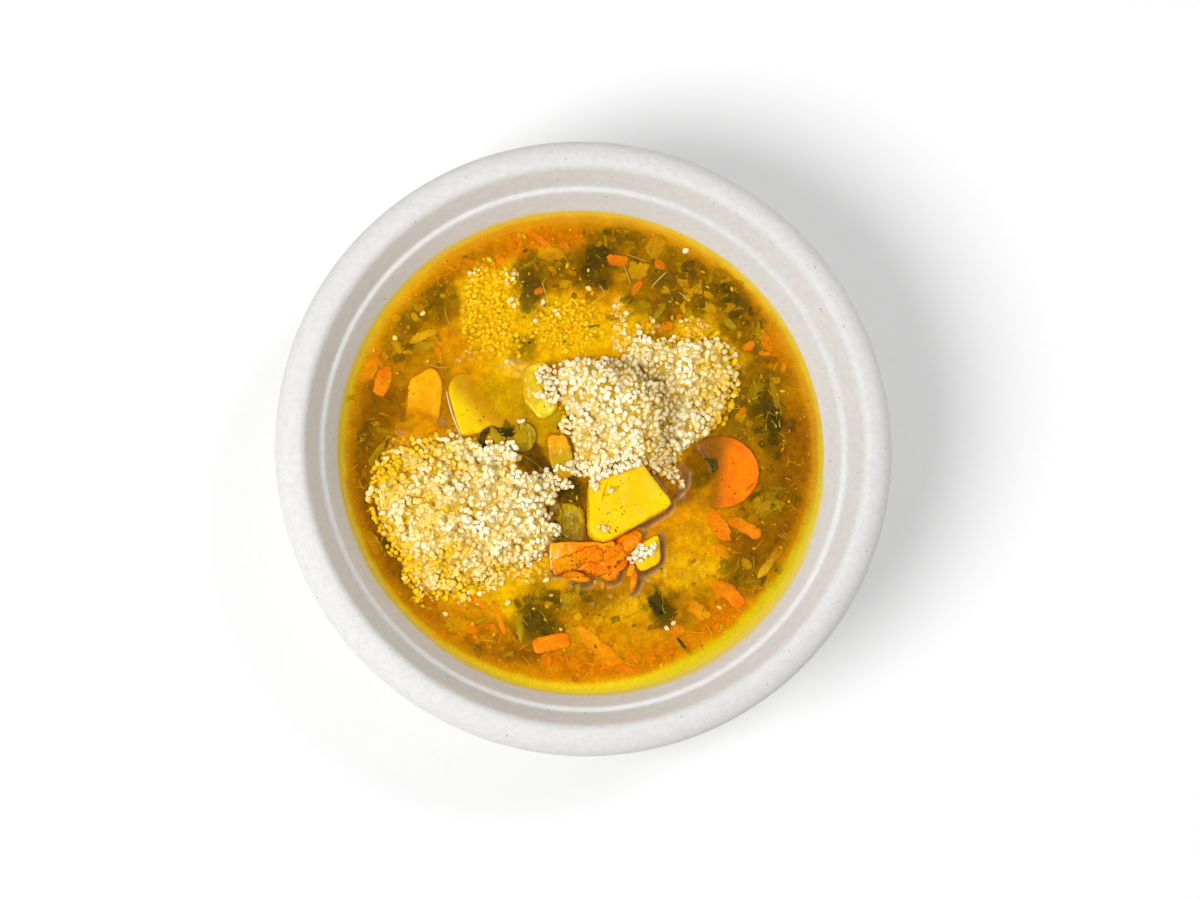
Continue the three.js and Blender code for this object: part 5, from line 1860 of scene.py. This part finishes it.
@dataclass
class Broth:
    """The broth: a glossy see-through layer over a cloudy body, with a lemon edge at the wall."""

    bowl: Bowl
    cells: int = 244
    layer: float = 3.7  # depth of the see-through layer
    haze: float = 1.7  # depth in which things fade to a third
    least: float = 0.18  # cover of the surface alone
    margin: float = 0.25  # how far the layer runs into the wall
    seed: int = 500

    def disc(self) -> tuple[Array, Array]:
        """Points of a round grid of radius 1 without a pole, and their numbers row by row."""
        side = np.linspace(-1, 1, self.cells + 1)
        u, v = np.meshgrid(side, side)
        points = np.stack([u * np.sqrt(1 - v**2 / 2), v * np.sqrt(1 - u**2 / 2)], axis=-1).reshape(-1, 2)
        return points, np.arange(len(points)).reshape(u.shape)

    def noise(self, place: int, size: float, octaves: int, spots: Array) -> Array:
        """One of the broth's noises at some places."""
        return Clouds(self.seed + place, size, octaves).at(spots)

    def tint(self, spots: Array, shores: "Shores") -> Array:
        """The broth's colour at places on its surface, with painted light at its edge and painted shade and
        highlight beside the pieces.

        Args:
            spots: the places.
            shores: the outlines of what stands out of the broth.

        Returns:
            A linear colour for each place.
        """
        bent = spots
        for place, size, octaves, reach in ((0, 9.0, 3, 9.0), (8, 2.6, 2, 4.5)):
            wander = [self.noise(place + i, size, octaves, spots) for i in (0, 1)]
            bent = bent + reach * (np.stack(wander, axis=1) - 0.5)
        total = np.tile(Tone.AMBER.linear, (len(spots), 1)) * 0.55
        weight = np.full(len(spots), 0.55)
        for cloud in CLOUDS:
            share = 2.6 * cloud.weight * np.exp(-1.1 * cloud.outness(bent) ** 3.6)
            total += share[:, None] * cloud.tone.linear
            weight += share
        colour = total / weight[:, None]
        colour[:, :3] *= (0.76 + 0.48 * self.noise(7, 1.5, 2, spots))[:, None]
        inward = self.bowl.wall_radius(LEVEL) - np.hypot(*spots.T)
        inward += 1.2 * (self.noise(2, 4.0, 2, spots) - 0.5)
        angle = np.degrees(np.arctan2(spots[:, 1], spots[:, 0]))
        width = Shore.around(angle, lambda shore: shore.width)
        edge = np.stack([Shore.around(angle, lambda s, c=c: linear(s.colour)[c]) for c in range(4)], axis=-1)
        # The edge band changes in colour and width round the bowl, partly as painted light
        colour = blend(colour, Tone.FRINGE.linear, 0.6 * ease(inward, width + 4.0, width * 0.6))
        colour = blend(colour, edge, ease(inward, width, width * 0.45))
        colour = blend(colour, Tone.LEMON.linear, 0.5 * ease(inward, 1.6, 0.5))
        # Painted shade and a painted highlight beside the pieces that stand out of the broth
        for tone, share in shores.halo(spots).items():
            colour = blend(colour, tone.linear, share)
        return np.clip(colour, 0, 1)

    def depths(self, spots: Array, z: Array, inward: Array, sunk: Sequence[Surface]) -> Array:
        """How deep the broth is over what lies in it.

        Args:
            spots: places on its surface.
            z: its height at each.
            inward: the distance of each from the wall.
            sunk: everything that can show through the layer.

        Returns:
            A depth for each place, no more than the layer's.
        """
        below = Ground(sunk)
        tops = [below.top(x, y) for x, y in spots]
        depth = np.array([self.layer if top is None else max(0.0, h - top) for h, top in zip(z, tops)])
        wall = (z - LEVEL + inward / self.bowl.lean).clip(0, self.layer)
        return np.minimum(np.minimum(depth, self.layer), wall)

    def sheet(self, sunk: Sequence[Surface], shores: "Shores") -> Surface:
        """The see-through layer, closed below by a bag.

        Args:
            sunk: everything that can show through the layer.
            shores: the outlines of what stands out of the broth.

        Returns:
            The surface with its tint, its cover and how near each point is to the wall.
        """
        flat, index = self.disc()
        spots = flat * (self.bowl.wall_radius(LEVEL + 0.6) + self.margin)
        inward = np.maximum(self.bowl.wall_radius(LEVEL + 0.5) - np.hypot(*spots.T), 0)
        ripples = 0.10 * (self.noise(4, 11.0, 2, spots) - 0.5)
        z = LEVEL + 0.6 * np.exp(-inward / 1.1) + ripples + 0.4 * shores.near(spots, 0.9)
        z += sum(swell.height(spots) for swell in SWELLS)
        depth = self.depths(spots, z, inward, sunk)
        cover = self.least + (1 - self.least) * (1 - np.exp(-depth / self.haze))
        cover = np.where(inward < 6, np.maximum(cover, 0.62), cover)
        cover = np.max([cover, *(swell.cover(spots) for swell in SWELLS)], axis=0)

        a, b, c, d = index[:-1, :-1], index[:-1, 1:], index[1:, 1:], index[1:, :-1]
        squares = [np.stack(corners, axis=-1).reshape(-1, 3) for corners in ((a, b, c), (a, c, d))]
        ring = np.concatenate([index[0, :-1], index[:-1, -1], index[-1, :0:-1], index[:0:-1, 0]])
        low = LEVEL - self.layer - 0.3
        foot = len(spots) + np.arange(len(ring))
        under = flat[ring] * (self.bowl.wall_radius(low) + self.margin)
        points = np.concatenate([np.c_[spots, z], np.c_[under, np.full(len(under), low)], [(0, 0, low)]])
        ring_next, foot_next, pole = np.roll(ring, -1), np.roll(foot, -1), np.full(len(foot), len(points) - 1)
        bag = [np.c_[ring, foot, ring_next], np.c_[ring_next, foot, foot_next], np.c_[foot, pole, foot_next]]
        layer = Surface(points, np.concatenate([*squares, *bag]))
        extra = len(points) - len(spots)
        lemon = np.tile(Tone.LEMON.linear, (extra, 1))
        layer.painted("tint", np.concatenate([self.tint(spots, shores), lemon]))
        layer.painted("cover", np.concatenate([cover, np.full(extra, 0.6)]))
        return layer.painted("edge", np.concatenate([ease(inward, 6.0, 2.0), np.zeros(extra)]))

    def body(self, shores: "Shores") -> Surface:
        """The opaque body of the broth, from the see-through layer down to the floor."""
        top = LEVEL - self.layer
        steps = [(float(self.bowl.wall_radius(h)) - 0.35, h) for h in np.linspace(top - 0.4, 3.0, 9)]
        crown = [(r, top) for r in np.linspace(0, steps[0][0] - 0.6, 60)]
        surface = Surface.turned(np.array([*crown, *steps, (0.0, 3.0)]), 180)
        level = surface.points[:, 2] > top - 0.2
        surface.points[level, 2] += 0.5 * (self.noise(6, 5.0, 3, surface.points[level]) - 0.5)
        return surface.painted("tint", self.tint(surface.points[:, :2], shores))

    def build(self, sunk: Sequence[Surface], shores: "Shores") -> None:
        """Makes the see-through layer and the body under it.

        Args:
            sunk: everything that can show through the layer.
            shores: the outlines of what stands out of the broth.
        """
        sheet = self.sheet(sunk, shores).made("broth_surface", ClearBroth(), "broth", ["broth"])
        # Light scatters through real broth, which a shadow of the sheet would take from what lies in it
        sheet.visible_shadow = False
        self.body(shores).made("broth_body", SEDIMENT, "broth", ["broth"])


class Shores:
    """Where the broth climbs what stands out of it."""

    BAND = 2.1  # width of the band of painted shade beside a piece
    FACING = (0.72, -0.69)  # the side of the pieces on which the painted shade and highlight show
    # A tail of floating grains, which the skin bends to as well
    TAIL = [(26.8, -2.5), (30.4, -5.2), (32.6, -8.0), (32.5, -10.6), (31.0, -12.8), (29.6, -14.2)]

    def __init__(self, surfaces: Sequence[Surface]) -> None:
        """Finds the points of some surfaces that lie at the waterline."""
        points = np.concatenate([s.points for s in surfaces])
        steps = np.linspace(0, len(self.TAIL) - 1, 60)
        tail = np.c_[[np.interp(steps, range(len(self.TAIL)), column) for column in zip(*self.TAIL)]].T
        self.line = np.concatenate([points[np.abs(points[:, 2] - LEVEL) < 0.45, :2], tail])
        self.tree = KDTree(len(self.line))
        for i, (x, y) in enumerate(self.line):
            self.tree.insert((x, y, 0), i)
        self.tree.balance()

    def near(self, spots: Array, reach: float) -> Array:
        """How close each place is to a waterline: 1 at it, and 0 a few reaches away."""
        gaps = np.array([self.tree.find((x, y, 0))[2] for x, y in spots])
        return np.exp(-((gaps / reach) ** 2))

    def halo(self, spots: Array) -> dict[Tone, Array]:
        """Painted shade in a band where the broth's skin bends down from a piece, and a painted highlight line
        round it.

        Args:
            spots: places on the broth.

        Returns:
            The share of each tone at each place.
        """
        near = np.array([self.tree.find((x, y, 0))[1] for x, y in spots])
        away = spots - self.line[near]
        gap = np.linalg.norm(away, axis=1)
        side = ease((away @ np.array(self.FACING)) / np.maximum(gap, 0.2), -0.2, 0.6)
        gap = gap + 0.9 * (Clouds(77, 5.0, 2).at(spots) - 0.5)
        return {
            Tone.BRUISE: 0.85 * side * ease(gap, self.BAND, self.BAND - 0.5),
            Tone.PLUM: 0.8 * side * ease(gap, self.BAND - 0.3, self.BAND - 1.4),
            Tone.SKIN: 0.6 * side * np.exp(-(((gap - self.BAND) / 0.28) ** 2)),
        }


# The studio


@dataclass
class Studio:
    """The camera at the photograph's place, soft light from the lower left, and a white floor."""

    eye: tuple[float, float, float] = (-87.413, -123.943, 1041.443)
    target: tuple[float, float, float] = (4.378, -1.555, 53.214)
    lens: float = 93.85
    sensor: float = 36.0
    # Direction, elevation, width and strength of the large lamp and the fill
    lamps: Sequence[tuple[float, ...]] = ((208.0, 50.0, 750.0, 0.82), (38.0, 55.0, 600.0, 0.34))
    distance: float = 1300.0  # from the broth to each lamp
    sky: float = 0.33
    floor_half: float = 1600.0

    def camera(self) -> None:
        """Sets the camera, its top edge along +Y."""
        data = bpy.data.cameras.new("camera")
        data.lens = self.lens
        data.sensor_width = self.sensor
        data.clip_start, data.clip_end = 0.05, 10.0
        camera = bpy.data.objects.new("camera", data)
        bpy.context.scene.collection.objects.link(camera)
        eye, target = Vector(self.eye) * MM, Vector(self.target) * MM
        back = (eye - target).normalized()
        right = Vector((0, 1, 0)).cross(back).normalized()
        turn = Matrix((right, back.cross(right), back)).transposed()
        camera.matrix_world = Matrix.Translation(eye) @ turn.to_4x4()
        bpy.context.scene.camera = camera

    def lights(self) -> None:
        """A large soft lamp at the lower left, a fill at the upper right, and a weak even sky."""
        for number, (direction, elevation, width, strength) in enumerate(self.lamps):
            data = bpy.data.lights.new(f"lamp_{number}", "AREA")
            data.shape = "DISK"
            data.size = width * MM
            data.energy = strength * (math.pi * self.distance * MM) ** 2
            lamp = bpy.data.objects.new(f"lamp_{number}", data)
            bpy.context.scene.collection.objects.link(lamp)
            turn, tilt = math.radians(direction), math.radians(elevation)
            away = Vector((math.cos(turn) * math.cos(tilt), math.sin(turn) * math.cos(tilt), math.sin(tilt)))
            lamp.location = Vector((0, 0, LEVEL * MM)) + away * self.distance * MM
            lamp.rotation_mode = "QUATERNION"
            lamp.rotation_quaternion = away.to_track_quat("Z", "Y")
        world = bpy.data.worlds.new("sky")
        world.use_nodes = True
        back = world.node_tree.nodes["Background"]
        back.inputs["Color"].default_value = (1, 1, 1, 1)
        back.inputs["Strength"].default_value = self.sky
        bpy.context.scene.world = world

    def floor(self) -> None:
        """A wide sheet of paper under the bowl."""
        half = self.floor_half * MM
        mesh = bpy.data.meshes.new("floor")
        corners = [(-half, -half, 0), (half, -half, 0), (half, half, 0), (-half, half, 0)]
        mesh.from_pydata(corners, [], [(0, 1, 2, 3)])
        paper = bpy.data.objects.new("floor", mesh)
        bpy.context.scene.collection.objects.link(paper)
        mesh.materials.append(PaperFloor().material())

    def build(self) -> None:
        """Sets up everything that isn't part of the object."""
        self.camera()
        self.lights()
        self.floor()
        bpy.context.scene.view_settings.view_transform = "Standard"


def main() -> None:
    """Builds the soup from the bowl inwards."""
    logging.basicConfig(level=logging.INFO, format="%(message)s")
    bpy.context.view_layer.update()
    bowl = Bowl()
    bowl.build()

    vegetables = []
    for seed, vegetable in enumerate(VEGETABLES, FIRST_SEED):
        surface = vegetable.surface(seed)
        surface.made(vegetable.node + "_cooked", vegetable.finish, vegetable.slot, [vegetable.node])
        vegetables.append(surface)
    cores, heaps = zip(*(heap.build(Ground(vegetables)) for heap in HEAPS))
    loose = LooseCouscous().build(Ground([*vegetables, *cores]))

    small = SmallPieces()
    carrots = small.placed("sunk_carrot", CARROTS, (CARROT, PALE_CARROT), CRUMB, "carrot")
    pale = small.placed("sunk_celery_and_onion", PALE, (CELERY, ONION), CRUMB, "celery")
    leaves = small.placed("sunk_leaves", LEAVES, (LEAF, OLIVE_LEAF), LEAFAGE, "leaf")
    small.crumb_field().made("vegetable_crumbs", CRUMB, "carrot")

    sunk = [*vegetables, *cores, *heaps, *loose, carrots, pale, leaves]
    wet = [surface for surface, vegetable in zip(vegetables, VEGETABLES) if vegetable.banded]
    Broth(bowl).build(sunk, Shores(wet))
    top = Ground(sunk)
    small.threads(top).made("stalk_threads_and_painted_lines", CRUMB, "celery")
    small.pepper_field(top).made("pepper", PEPPER, "leaf")

    Studio().build()


if __name__ == "__main__":
    main()
